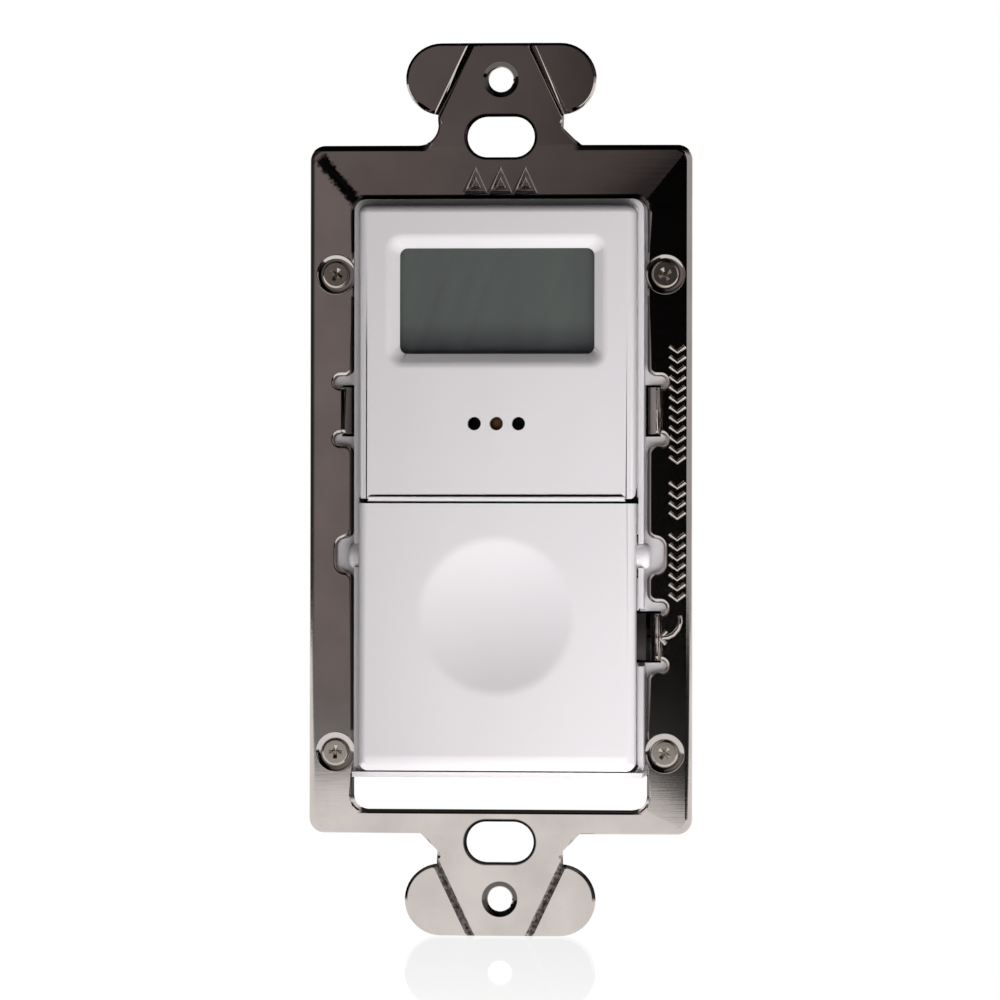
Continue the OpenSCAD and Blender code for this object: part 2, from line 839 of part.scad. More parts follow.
module door() {
    root_y = face_y + shell_t / 2;
    color("#eceaec") difference() {
        union() {
            difference() {
                soft_block(face_w, door_low, door_top, face_y, door_back_y, edge_r);
                block([wall_t - face_w / 2, face_y + shell_t, door_low + wall_t],
                    [face_w / 2 - wall_t, door_back_y + over, door_top - wall_t]);
            }
            translate([0, 0, dish_z]) rod_y(dish_boss_r, root_y, dish_back_y);
            for (m = [0, 1]) mirror([m, 0, 0]) door_arm();
            translate([0, 0, key_row_z]) rod_y(door_post_r, root_y, post_tip_y);
            block([-door_rib_t / 2, root_y, door_low + wall_t / 2], [door_rib_t / 2, door_back_y, key_row_z]);
        }
        translate([0, face_y + dish_depth - dish_r, dish_z]) sphere(dish_r, $fn = 128);
        translate([0, face_y, door_low + door_bevel_z]) rotate([atan2(door_bevel_y, door_bevel_z), 0, 0])
            block([-face_w, -pivot_back, -pivot_back], [face_w, 0, 0]);
    }
}

// One programming key: cap, retaining flange and the leg that enters its switch
module key(column, row) {
    color("#b9bcc2") translate([column * key_x, 0, key_row_z + row * key_pitch]) {
        difference() {
            plate_xz(-key_proud, base_t + key_flange_t) round_rect(key_w, key_h, key_r);
            translate([0, key_dish_depth - key_proud - key_dish_r, 0]) rod_x(key_dish_r, -key_w, key_w);
        }
        plate_xz(base_t + fit, base_t + fit + key_flange_t)
            round_rect(key_w + 2 * key_flange, key_h + 2 * key_flange, key_r);
        rod_y(key_leg_r, base_t, key_switch_y + key_leg_in);
    }
}

module key_clock() {
    key(-1, 1);
}

module key_day() {
    key(1, 1);
}

module key_hour() {
    key(-1, 0);
}

module key_minute() {
    key(1, 0);
}

module key_program() {
    key(-1, -1);
}

module key_mode() {
    key(1, -1);
}

module key_switches() {
    color("#3a393c") at_keys() difference() {
        plate_xz(key_switch_y, board_y) square(key_switch, center = true);
        rod_y(key_leg_r + fit, key_switch_y - over, key_switch_y + key_leg_in + key_travel + fit);
    }
}

module override_switch() {
    color("#3a393c") translate([0, 0, key_row_z])
        plate_xz(key_switch_y, board_y) square(override_size, center = true);
}

module override_dome() {
    skirt_y = key_switch_y - dome_skirt;
    color("#c9c6c0") translate([0, 0, key_row_z]) {
        cone_y(dome_tip_r, dome_r, post_tip_y + fit, skirt_y);
        rod_y(dome_r, skirt_y, key_switch_y);
    }
}

// Outline of a circuit board between two heights, cut back round the screw bosses and drilled for its posts
module board_outline() {
    difference() {
        panel(board_w, board_low, board_top, board_r);
        for (p = SCREWS) translate(p) circle(boss_r + strap_gap);
        for (p = POSTS) translate(p) circle(board_screw_r + fit);
    }
}

module control_board() {
    color("#2f6b46") plate_xz(board_y, board_back_y) board_outline();
}

module power_board() {
    color("#2f6b46") plate_xz(power_y, power_back_y) difference() {
        board_outline();
        for (t = TERMINALS) translate([t[0] * board_w / 2, t[1]])
            square([2 * wall_t, pocket_h + 2 * (pocket_wall + tray_gap)], center = true);
    }
}

module controller_chip() {
    color("#262628") translate([-chip_x, 0, -chip_z]) {
        plate_xz(board_back_y + chip_stand, board_back_y + chip_t)
            square(chip_size - 2 * chip_pin_root, center = true);
        for (turn = [0, 90, 180, 270], i = [-3:3]) rotate([0, turn, 0]) translate([0, 0, i * chip_pin_pitch])
            block([chip_size / 2 - chip_pin_len, board_back_y, -chip_pin_w / 2],
                [chip_size / 2, board_back_y + chip_pin_w, chip_pin_w / 2]);
    }
}

module crystal() {
    color("#c4c2bd") translate([crystal_x, board_back_y + crystal_r, -chip_z]) {
        cylinder(r = crystal_r, h = crystal_len);
        for (s = [-1, 1]) translate([s * crystal_lead_x, 0, -crystal_lead_len])
            cylinder(r = crystal_lead_r, h = crystal_lead_len + fit);
    }
}

module backup_cell() {
    cell_back_y = board_back_y + cell_clip_t + cell_disc_t;
    color("#cfcdc8") translate([0, 0, cell_z]) {
        rod_y(cell_r, board_back_y + cell_clip_t, cell_back_y - cell_step);
        rod_y(cell_r - cell_cap, cell_back_y - 2 * cell_step, cell_back_y);
    }
}

module cell_clip() {
    cell_back_y = board_back_y + cell_clip_t + cell_disc_t;
    clip_back_y = cell_back_y + cell_clip_t;
    wall_x = cell_r + fit;
    half = cell_clip_w / 2;
    color("#b8b6b0") translate([0, 0, cell_z]) {
        plate_xz(board_back_y, board_back_y + cell_clip_t) square([2 * wall_x, cell_clip_w], center = true);
        for (m = [0, 1]) mirror([m, 0, 0]) {
            block([wall_x, board_back_y, -half], [wall_x + cell_clip_t, clip_back_y, half]);
            block([wall_x - cell_lip, cell_back_y, -half], [wall_x + cell_clip_t, clip_back_y, half]);
        }
    }
}

module board_header() {
    color("#2b2a2c") translate([post_x - header_inset, 0, 0])
        plate_xz(board_back_y, power_y) square([header_w, header_len], center = true);
}

module board_spacers() {
    color("#d9d8d2") for (p = POSTS) translate([p[0], 0, p[1]]) difference() {
        rod_y(post_r, board_back_y, power_y);
        rod_y(board_screw_r + fit, board_back_y - over, power_y + over);
    }
}

module board_screws() {
    length = power_back_y - base_t - board_screw_bite;
    color("#b3b0aa") for (p = POSTS) translate([p[0], power_back_y, p[1]]) rotate([0, 0, 180])
        pan_screw(board_head_r, board_head_h, board_screw_r, 0, length);
}

module relay() {
    color("#22303f") translate([-relay_x, 0, -relay_z])
        plate_xz(power_back_y, power_back_y + relay_h) round_rect(relay_w, relay_len, relay_r);
}

module dropper_capacitor() {
    color("#b8402c") translate([dropper_x, 0, -dropper_z])
        plate_xz(power_back_y, power_back_y + dropper_h) round_rect(dropper_w, dropper_len, dropper_r);
}

module smoothing_capacitor() {
    end_y = power_back_y + can_h;
    reach = can_r * can_vent_share;
    color("#25304d") translate([-can_x, 0, can_z]) difference() {
        rod_y(can_r, power_back_y, end_y);
        translate([0, power_back_y + can_groove_rise, 0]) rotate([-90, 0, 0])
            rotate_extrude() translate([can_r, 0]) circle(can_groove_r, $fn = 24);
        for (turn = [0, 90]) rotate([0, turn, 0])
            block([-reach, end_y - can_vent_w, -can_vent_w / 2], [reach, end_y + over, can_vent_w / 2]);
    }
}

// A square component leg along Y, centred, from a part's middle down to its board
module leg(length) {
    block([-leg_w / 2, -length, -leg_w / 2], [leg_w / 2, 0, leg_w / 2]);
}

module surge_suppressor() {
    color("#2f63a8") translate([disc_x, power_back_y + disc_lift + disc_r, disc_z]) {
        rod_x(disc_r, -disc_t / 2, disc_t / 2);
        for (s = [-1, 1]) translate([0, 0, s * disc_leg_z]) leg(disc_lift + disc_r);
    }
}

module fuse() {
    color("#cbbf9f") translate([-fuse_x, power_back_y + fuse_r + fuse_lift, fuse_z]) {
        cylinder(r = fuse_r - fuse_cap_t, h = fuse_len);
        for (z = [0, fuse_len - fuse_cap_len]) translate([0, 0, z]) {
            cylinder(r = fuse_r, h = fuse_cap_len);
            translate([0, 0, fuse_cap_len / 2]) leg(fuse_r + fuse_lift);
        }
    }
}

module choke() {
    color("#3b3a3a") translate([choke_x, power_back_y, choke_z]) rotate([-90, 0, 0]) {
        cylinder(r = choke_r, h = choke_flange);
        cylinder(r = choke_r - choke_waist, h = choke_h);
        translate([0, 0, choke_h - choke_flange]) cylinder(r = choke_r, h = choke_flange);
    }
}

module rectifier() {
    color("#29292b") translate([bridge_x, 0, bridge_z])
        plate_xz(power_back_y, power_back_y + bridge_t) square([bridge_w, bridge_h], center = true);
}

// Places children, drawn on the right wall, at each terminal
module at_terminals() {
    for (t = TERMINALS) translate([0, 0, t[1]]) mirror([t[0] < 0 ? 1 : 0, 0, 0]) children();
}

// Block inside the right wall that carries one terminal pocket, about the terminal's height
module pocket_block() {
    half = pocket_h / 2 + pocket_wall;
    block([pocket_floor_x - pocket_wall, pocket_y - pocket_wall, -half],
        [housing_w / 2 - over, inner_floor_y + over, half]);
}

// Pocket, screw hole, wire holes and tang slot of one terminal
module pocket_cut() {
    block([pocket_floor_x, pocket_y, -pocket_h / 2], [housing_w, pocket_y + pocket_len, pocket_h / 2]);
    inner_x = pocket_floor_x - 2 * pocket_wall;
    slot_half = tang_w / 2 + face_gap;
    translate([0, terminal_y, 0]) rod_x(terminal_r + face_gap, inner_x, pocket_floor_x + over);
    for (s = [-1, 1]) translate([pocket_floor_x + plate_t, 0, s * wire_pitch / 2])
        rod_y(wire_r, pocket_y + pocket_len - over, rear_y + over);
    block([inner_x, pocket_y, -slot_half],
        [pocket_floor_x + over, pocket_y + plate_t + face_gap, slot_half]);
}

// Outer form of the rear housing, drawn in towards a chamfered rear face
module case_block() {
    edge_y = rear_y - rear_chamfer;
    hull() {
        plate_xz(base_t, base_t + fit) panel(housing_w, housing_low, housing_top, housing_r, $fn = hull_fn);
        plate_xz(edge_y - fit, edge_y) panel(rear_w, rear_low, rear_top, housing_r, $fn = hull_fn);
        plate_xz(rear_y - fit, rear_y) panel(rear_w - 2 * rear_chamfer, rear_low + rear_chamfer,
            rear_top - rear_chamfer, housing_r - rear_chamfer, $fn = hull_fn);
    }
}

module rear_housing() {
    color("#dfdcdc") difference() {
        intersection() {
            case_block();
            union() {
                difference() {
                    plate_xz(base_t, rear_y) square(2 * strap_h, center = true);
                    plate_xz(base_t - over, pocket_y) panel(inner_w, inner_low, inner_top, inner_r);
                    plate_xz(base_t, inner_floor_y)
                        panel(rear_w - 2 * rear_wall, rear_low + rear_wall, rear_top - rear_wall, inner_r);
                }
                for (p = SCREWS) translate([p[0], 0, p[1]]) rod_y(boss_r, base_t, base_t + boss_len);
                at_terminals() pocket_block();
            }
        }
        for (p = SCREWS) translate([p[0], 0, p[1]])
            rod_y(screw_d / 2 + fit, base_t - over, base_t + boss_len - boss_floor);
        at_terminals() pocket_cut();
    }
}

module terminal_plates() {
    half = pocket_h / 2 - plate_inset;
    front_y = pocket_y + fit;
    tang_x = pocket_floor_x - pocket_wall - tang_reach;
    color("#c39a4a") at_terminals() difference() {
        union() {
            block([pocket_floor_x, front_y, -half],
                [pocket_floor_x + plate_t, pocket_y + pocket_len - plate_inset, half]);
            block([tang_x, front_y, -tang_w / 2], [pocket_floor_x, front_y + plate_t, tang_w / 2]);
        }
        translate([0, terminal_y, 0])
            rod_x(terminal_r + fit, pocket_floor_x - over, pocket_floor_x + plate_t + over);
    }
}

module terminal_clamps() {
    half = pocket_h / 2 - clamp_inset;
    x0 = pocket_floor_x + plate_t;
    color("#c2bfb8") at_terminals() difference() {
        block([x0, pocket_y + clamp_inset, -half], [x0 + clamp_t, pocket_y + pocket_len - clamp_inset, half]);
        translate([0, terminal_y, 0]) rod_x(terminal_r + fit, x0 - over, x0 + clamp_t + over);
    }
}

module terminal_screws() {
    head_x = pocket_floor_x + plate_t + clamp_t;
    end_x = rear_w / 2;
    slot_x = end_x - (end_x - head_x) * terminal_slot_share;
    color("#c39a4a") at_terminals() translate([0, terminal_y, 0]) difference() {
        union() {
            rod_x(terminal_head_r, head_x, end_x);
            rod_x(terminal_r, pocket_floor_x - pocket_wall - terminal_tip, head_x);
        }
        block([slot_x, -housing_w, -terminal_slot_w / 2], [housing_w, housing_w, terminal_slot_w / 2]);
    }
}

mounting_strap();
strap_screws();
front_housing();
display_bezel();
display_lens();
display_cell();
display_tray();
contact_strips();
status_lamp();
reset_switches();
reset_stem_left();
reset_stem_right();
door();
key_clock();
key_day();
key_hour();
key_minute();
key_program();
key_mode();
key_switches();
override_switch();
override_dome();
control_board();
controller_chip();
crystal();
backup_cell();
cell_clip();
board_header();
board_spacers();
board_screws();
power_board();
relay();
dropper_capacitor();
smoothing_capacitor();
surge_suppressor();
fuse();
choke();
rectifier();
rear_housing();
terminal_plates();
terminal_clamps();
terminal_screws();
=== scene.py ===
"""Dresses an in-wall timer light switch: plated strap, white mouldings, display, keys and a studio."""

import json
import math
from contextlib import contextmanager
from functools import reduce

import bmesh
import bpy
from mathutils import Matrix, Vector


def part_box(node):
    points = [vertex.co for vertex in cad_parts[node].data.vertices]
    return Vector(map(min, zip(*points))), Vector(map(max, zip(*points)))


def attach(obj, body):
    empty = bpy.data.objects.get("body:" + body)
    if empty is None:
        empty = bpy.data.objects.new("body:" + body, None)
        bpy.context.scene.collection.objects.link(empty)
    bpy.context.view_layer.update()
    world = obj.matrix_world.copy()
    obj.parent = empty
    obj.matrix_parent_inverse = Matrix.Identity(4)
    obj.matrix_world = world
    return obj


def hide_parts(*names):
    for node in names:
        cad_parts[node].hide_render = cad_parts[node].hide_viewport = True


bl_info = {
    "name": "Timer Light Switch",
    "version": (1, 0, 0),
    "blender": (4, 5, 0),
    "location": "3D View > Sidebar > Timer Switch",
    "description": "Finishes the pieces of an in-wall timer light switch and sets up its studio",
    "category": "Object",
}

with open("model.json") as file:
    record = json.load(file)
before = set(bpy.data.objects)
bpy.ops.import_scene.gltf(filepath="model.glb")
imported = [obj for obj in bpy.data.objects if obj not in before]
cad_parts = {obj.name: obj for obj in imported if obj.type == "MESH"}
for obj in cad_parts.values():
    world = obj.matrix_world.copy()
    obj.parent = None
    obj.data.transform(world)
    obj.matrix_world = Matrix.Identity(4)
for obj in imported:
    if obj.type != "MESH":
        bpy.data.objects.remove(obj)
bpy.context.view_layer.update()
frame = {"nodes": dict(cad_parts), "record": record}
NODES = frame["nodes"]
MM = 0.001

# Limits for merging and flattening copies of the construction meshes, and for smooth shading
MERGE = 0.002 * MM
SHORT = 0.06 * MM
FLAT = math.radians(0.3)
SMOOTH = math.radians(32)
ROLLED = math.radians(25)
FACET = math.radians(12)
NEAR_FACE = 0.035 * MM
FACE_WEIGHT = 60
LINE_ROUND = 3
ROD_SIDES = 64
FLATTEN = (1, 0, 1)

# What counts as on an edge, as looking along an axis, as bent and as a square corner
TOUCH = 0.01 * MM
FACING = 0.99
BENT = 0.02
SQUARE = 1.4


def mm(*values):
    """Lengths in millimetres, in metres."""
    return tuple(value * MM for value in values)


# Places worked out from the construction
STRAP_LOW, STRAP_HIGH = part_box("mounting_strap")
SCREW_LOW, SCREW_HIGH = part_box("strap_screws")
FACE_LOW, FACE_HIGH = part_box("display_bezel")
DOOR_LOW, DOOR_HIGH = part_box("door")
LENS_LOW, LENS_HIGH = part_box("display_lens")

# The strap: thickness, rise of its face at the window, window edges and half height of its body
STRAP_T = 1.2 * MM
CROWN = 0.2 * MM
WINDOW_X = 17.4 * MM
WINDOW_TOP = 34.35 * MM
WINDOW_LOW = -37.85 * MM
BODY_HALF_Z = 40.7 * MM
BAR_SIDE = STRAP_HIGH.x - WINDOW_X
BAR_TOP = BODY_HALF_Z - WINDOW_TOP
BAR_LOW = BODY_HALF_Z + WINDOW_LOW
OUTWARD = {"left": Vector((-CROWN / BAR_SIDE, -1, 0)), "right": Vector((CROWN / BAR_SIDE, -1, 0)),
           "top": Vector((0, -1, CROWN / BAR_TOP)), "bottom": Vector((0, -1, -CROWN / BAR_LOW)),
           "ear": Vector((0, -1, 0))}
MITRE_START = Vector((-WINDOW_X, WINDOW_TOP))
MITRE_ALONG = (Vector((-STRAP_HIGH.x, BODY_HALF_Z)) - MITRE_START).normalized()
EAR_Z = 41.0 * MM
SLOT_Z = 41.67 * MM
SLOT_HALF_X = 4.6 * MM
SLOT_REACH = 3.5 * MM
NOTCH_X = 19.95 * MM
DIMPLE_R = 2.6 * MM
PLATE_HOLE_Z = 48.42 * MM
PLATE_RIM_R = 2.5 * MM
PLATE_HOLE_R = 1.45 * MM
SLOT_FLAT = 1.6 * MM
SLOT_R = 2.4 * MM
NECK_HALF = 7.45 * MM
EAR_MIDDLE = 48.52 * MM
EAR_FLAT = 7.05 * MM
EAR_R = 4.25 * MM
SCORE_FOOT = Vector((3.45 * MM, EAR_MIDDLE + EAR_R))
SCORE_ALONG = (Vector((7.5 * MM, EAR_MIDDLE - EAR_R)) - SCORE_FOOT).normalized()
RIM_FRONT, RIM_WALL = 0.97, 0.25
FLAT_BACK = 0.9999
CREASE_INSET, CREASE_RUN = mm(0.6, 6.0)
CREASE_FOOT = (0.7, 1, 0.02)
ARROW_WIDER = 1.1

# Painted dark reflection on the strap's rims, ears and crease, and the rough scores and dull tabs: what is
# left of the plating's colour, and where each fade across an edge starts and ends
RIM_TONE, SLOT_TONE, HOLE_TONE, EDGE_TONE, EAR_TONE, CREASE_TONE = 0.03, 0.06, 0.2, 0.05, 0.1, 0.02
SIDE_TONES = (0.15, 0.4)
RIM_IN, RIM_OUT, RIM_SIDE = mm(-0.25, -0.15), mm(0.42, 0.55), mm(-1.2, -0.4)
SIDE_OUT, SIDE_END, SCREW_CLEAR = mm(0.28, 0.4), mm(-1.5, -1.0), mm(2.4, 2.8)
SLOT_OUT, HOLE_IN, HOLE_OUT = mm(0.25, 0.42), mm(0.06, 0.14), mm(0.6, 0.72)
EDGE_IN, EDGE_OUT, EDGE_SIDE = mm(-1.8, -0.8), mm(0.6, 0.75), mm(1.0, 2.0)
EAR_IN, EAR_OUT, EAR_TURN, NECK_FADE = mm(-0.05, -0.02), mm(0.3, 0.42), mm(-0.3, 0.5), mm(0.0, 0.25)
CREASE_OUT, CREASE_START, CREASE_END = mm(0.45, 1.0), mm(-0.6, -0.2), mm(6.0, 6.8)
CREASE_BACK, SCORE_BACK, STRAP_BACK = mm(-0.7, -0.5), mm(-0.4, -0.2), mm(-0.2, -0.05)
SCORE_OUT, HALVES = mm(0.4, 0.48), mm(-1.0, 1.0)
RAGGED, STRAY_FADE, KNURL_FADE = 2200, (0.3, 0.7), (0.42, 0.58)
CREASE_STRAY = 0.25 * MM
SCORE_DARK, SCORE_LIGHT, SCORE_ROUGH = 0.3, 0.75, 0.5
TAB_DULL, TAB_FADE, TAB_REACH = 0.8, mm(0.0, 0.3), mm(28.0, 29.0)

# The screws beside the window
SCREW_R = 1.625 * MM
SCREW_HEAD = 0.9 * MM
SCREW_SHANK_R = 0.9 * MM
SCREW_X = SCREW_HIGH.x - SCREW_R
SCREW_TOP = SCREW_HIGH.z - SCREW_R
SCREW_BOTTOM = SCREW_LOW.z + SCREW_R
CUP_R = 2.4 * MM
CUP_FLOOR_R = 1.72 * MM
CUP_BACK = 0.74
CUP_PROUD, CUP_DEPTH, CUP_REACH, CUP_RIM, CUP_EDGE = mm(0.08, 0.2, 0.5, 0.12, 0.05)
RECESS, RECESS_LONG, RECESS_WIDE, HEAD_EDGE = mm(0.3, 2.5, 0.85, 0.28)
RECESS_FOOT = (0.25, 1, 0.12)
SCREW_TURNS = {"upper_left": 25, "upper_right": 62, "lower_left": 4, "lower_right": 38}

# The door's foot, the slope to the display and the finger dish in the door
FOOT_LOW, FOOT_HIGH = mm(-32.0, -31.7)
FOOT_BEND = 0.4
SLOPE_BEND = (0.5, 0.8)
DISH_Z = -14.9 * MM
DISH_R = 9.05 * MM
DISH_DEPTH = 1.1 * MM
DISH_STEPS = 8
DISH_RINGS = 10

# The collar round the panel and the door, and the heights at which a lip closes its gap
COLLAR_IN = 16.5 * MM
COLLAR_TOP = 33.6 * MM
LIP_FRONT = -3.32 * MM
LIP_BACK = -2.4 * MM
LIP_GAP = 0.03 * MM
LIP_EDGE = 0.06 * MM
BEAD_R = 0.085 * MM
BEAD_BEND = 0.95 * MM
BEAD_TURN = Vector((COLLAR_IN + FACE_HIGH.x, COLLAR_TOP + FACE_HIGH.z)) / 2 - Vector((BEAD_BEND, BEAD_BEND))
BEAD_SWELL = 1.15
BEAD_STEPS = 10
LIP_ROWS = ((-0.9, 32.6), (-5.3, -1.7), (-14.2, -10.4), (-32.4, -20.6))

# Signs on the keys, as lines in millimetres about the middle of a key
RING_R = 0.95
TURNS = [math.radians(15 * step) for step in range(25)]
RING = tuple((RING_R * math.sin(turn), RING_R * math.cos(turn)) for turn in TURNS)
SIGNS = {
    "key_clock": (RING, ((0, 0.6), (0, 0), (0.45, -0.3))),
    "key_day": (RING[:7] + RING[18:], ((-1.4, 0), (1.4, 0)), ((-1.0, -0.55), (1.0, -0.55))),
    "key_hour": (((-0.75, 1.0), (0.75, 1.0), (-0.75, -1.0), (0.75, -1.0), (-0.75, 1.0)),),
    "key_minute": (((-0.9, 0.5), (0, -0.6), (0.9, 0.5)),),
    "key_program": tuple(((-1.1, z), (1.1, z)) for z in (0.75, 0.0, -0.75)),
    "key_mode": (((-1.3, 0), (1.1, 0)), ((0.5, 0.65), (1.2, 0), (0.5, -0.65))),
}

# Textures, in cycles per metre, and the shades that they mix
GRAIN, CLOUD, SPARK, FLOW = (120, 2500, 6000), (180, 180, 180), (2600, 2600, 2600), (60, 60, 25)
# The display's bands and the shares and light of its foot are painted reflection
HAZE, REFLECTION_BANDS = (90, 90, 90), (230, 0, 0)
CLOUD_SHADES, FLOW_SHADES, SPARK_SHARES = (0.90, 1.06), (0.975, 1.02), (0.85, 1.15)
FOOT_SHARES, FOOT_LIGHT, REFLECTION_BAND_LIGHT = (0.16, 0.38), 0.62, 0.5
GLASS_DARK, GLASS_LIGHT, GLASS_STOPS = (0.52, 0.50, 0.62), 1.12, (0.1, 1.0)
LENS_ROUGH, LENS_ALPHA = (0.03, 0.08), (0.06, 0.12)
TRACKS, TRACK_GAP = 260.0, 0.035
TRACK_SHADES = {"Color1": 0.8, "Color2": 1.0, "Mortar": 1.7}

# Studio: steps of light, each with its start and end and the values before and after it
WHITE = (1.0, 1.0, 1.0, 1.0)
PATCH_LEFT, PATCH_RIGHT = mm(-130, 20, 580, 420), mm(20, 34, 420, 200)
PATCH_EDGE, PATCH_LIGHT, PATCH_PAST = (*mm(-30, 30), 0.0, 1.0), 0.97, (*mm(-150, -20), 0.2, 0.01)
FLOOR_LEFT, FLOOR_RIGHT = (*mm(-60, 20), 0.06, 1.0), (*mm(35, 150), 1.0, 0.06)
FLOOR_NEAR, FLOOR_FAR = (*mm(-600, -280), 0.08, 1.0), (*mm(-140, 0), 1.0, 0.42)
FLOOR_GLOSS, FLOOR_INDEX, SHEEN_DEPTH = 0.03, 1.35, (*mm(-160, 0), 0.3, 1.0)
CARD_LEFT, CARD_RIGHT, CARD_TOP = mm(-500, 300, 450)
CARD_TONES = ((0.0, 0.16), (0.4, 0.23), (0.5, 0.14), (0.55, 0.11), (0.57, 0.088), (0.578, 0.06),
              (0.586, 0.004), (0.72, 0.0))
CARD_TINT = (1.0, 0.86, 0.87)
CARD_SLANT, CARD_FADE = mm(115, 135, 0, 20), (*mm(150, 400), 1.0, 0.2)
ROOM_BEHIND, ROOM_LOW, ROOM_LAMP = (0.5, 0.85, 0.0, 1.0), (0.3, 0.7, 1.0, 0.1), (0.2, 0.4, 0.0, 0.45)
ROOM_LEFT, ROOM_UP, ROOM_MIDDLE = (-0.95, -0.5, 0.03, 0.16), (0.1, 0.5, 1.0, 0.2), (-0.3, 0.1, 1.0, 0.1)
ROOM_RIGHT, BEHIND_MATT = (0.1, 0.7, 0.0, 1.0), 0.5
SENSOR = 36.0
CLIP = (0.05, 20.0)


def length(name, description, millimetres):
    """A length property with its default in millimetres."""
    return bpy.props.FloatProperty(name=name, description=description, default=millimetres * MM,
                                   unit="LENGTH", subtype="DISTANCE", precision=5)


def colour(name, description, value):
    """A colour property."""
    return bpy.props.FloatVectorProperty(name=name, description=description, default=value,
                                         subtype="COLOR", size=3, min=0.0, max=1.0)


def strength(name, description, value):
    """A brightness property."""
    return bpy.props.FloatProperty(name=name, description=description, default=value,
                                   subtype="FACTOR", min=0.0, max=10.0)


def angle(name, description, degrees):
    """An angle property with its default in degrees."""
    return bpy.props.FloatProperty(name=name, description=description, default=math.radians(degrees),
                                   unit="ROTATION", subtype="ANGLE")


class SwitchSizes(bpy.types.PropertyGroup):
    """Sizes of the finish that a maker would change."""

    outer_roll: length("Outer roll", "Radius of the strap's rolled outer edge", 0.8)
    ear_roll: length("Ear roll", "Radius of the rolled edge of the ears", 0.45)
    slot_roll: length("Slot roll", "Radius of the rolled edge of the box screw slots", 0.4)
    window_roll: length("Window roll", "Radius of the rolled edge of the strap's window", 0.5)
    crease_half: length("Crease", "Half of the width of the corner crease in the strap", 0.65)
    crease_depth: length("Crease depth", "How far the corner crease is sunk", 0.05)
    dish_rim: length("Dish rim", "Reach of the soft rim to each side of the finger dish's edge", 0.6)
    seam_edge: length("Seam edge", "Radius of the edges along the seam of the face", 0.25)
    slope_edge: length("Slope edge", "Radius of the edge where the face slopes down to the display", 0.45)
    door_foot: length("Door foot", "Radius of the door's lower edge", 0.7)
    key_edge: length("Key edge", "Radius of a key's edges", 0.3)
    mark_wire: length("Mark wire", "Radius of the raised lines pressed into the strap", 0.28)
    sign_wire: length("Sign wire", "Radius of the raised lines on the keys", 0.11)


class SwitchFinishes(bpy.types.PropertyGroup):
    """Colours of the finishes."""

    nickel: colour("Nickel", "Plating of the strap", (0.62, 0.57, 0.54))
    screw: colour("Screw", "Plating of the screws", (0.58, 0.52, 0.46))
    face: colour("Face", "Moulding of the panel and the door", (0.80, 0.765, 0.785))
    housing: colour("Housing", "Moulding of the housings", (0.78, 0.75, 0.77))
    glass: colour("Display", "Unpowered display", (0.128, 0.142, 0.131))
    key: colour("Key", "Moulding of the keys", (0.40, 0.42, 0.46))
    board: colour("Board", "Solder mask of the boards", (0.012, 0.06, 0.03))
    brass: colour("Brass", "Terminals", (0.78, 0.55, 0.22))


class StudioSettings(bpy.types.PropertyGroup):
    """Camera and light."""

    distance: length("Distance", "Distance of the camera from the strap", 700.0)
    azimuth: angle("Azimuth", "Turn of the camera to the right", 4.8)
    roll: angle("Roll", "Roll of the camera", 0.09)
    frame_height: length("Frame height", "Height that the picture covers at the strap", 118.34)
    aim_x: length("Aim X", "Sideways place of the picture's middle on the strap", -0.12)
    aim_z: length("Aim Z", "Height of the picture's middle on the strap", -1.25)
    floor_half: length("Floor", "Half of the floor's width", 1500.0)
    floor_light: strength("Floor light", "Light that the floor throws on what is matt", 5.3)
    floor_sheen: strength("Floor sheen", "Share of the floor's mirror image that the camera sees", 0.22)
    side_light: strength("Side light", "Light from the right on what is matt", 0.08)
    room_light: strength("Room light", "Light of the rest of the room on what is matt", 0.05)
    card_y: length("Card", "Distance of the dark card that shiny faces see", -750.0)


# Selection and modelling helpers

def activate(piece):
    """Makes piece the only selected object."""
    bpy.ops.object.select_all(action="DESELECT")
    piece.select_set(True)
    bpy.context.view_layer.objects.active = piece


@contextmanager
def editing(piece, mode="EDGE"):
    """Edit mode on one piece, with nothing selected."""
    activate(piece)
    bpy.ops.object.mode_set(mode="EDIT")
    bpy.ops.mesh.select_mode(type=mode)
    bpy.ops.mesh.select_all(action="DESELECT")
    yield
    bpy.ops.object.mode_set(mode="OBJECT")


def select_edges(piece, test):
    """Selects, in edit mode, the edges whose middle and two face normals pass the test, and counts them."""
    mesh = bmesh.from_edit_mesh(piece.data)
    count = 0
    for edge in mesh.edges:
        if len(edge.link_faces) == 2:
            middle = (edge.verts[0].co + edge.verts[1].co) / 2
            chosen = test(middle, *(face.normal for face in edge.link_faces))
            edge.select_set(chosen)
            count += chosen
    bmesh.update_edit_mesh(piece.data)
    return count


def select_faces(piece, test):
    """Selects, in edit mode, the faces whose middle and normal pass the test."""
    mesh = bmesh.from_edit_mesh(piece.data)
    for face in mesh.faces:
        face.select_set(test(face.calc_center_median(), face.normal))
    bmesh.update_edit_mesh(piece.data)


def select_vertices(piece, test):
    """Selects, in edit mode, the vertices whose place passes the test."""
    mesh = bmesh.from_edit_mesh(piece.data)
    for vertex in mesh.verts:
        vertex.select_set(test(vertex.co))
    mesh.select_flush_mode()
    bmesh.update_edit_mesh(piece.data)


def settle(piece):
    """Applies a piece's place, turn and scale to its mesh."""
    activate(piece)
    bpy.ops.object.transform_apply(location=True, rotation=True, scale=True)
    return piece


def block(size, middle=(0, 0, 0)):
    """A new box."""
    bpy.ops.object.select_all(action="DESELECT")
    bpy.ops.mesh.primitive_cube_add(size=1, location=middle, scale=size)
    return settle(bpy.context.object)


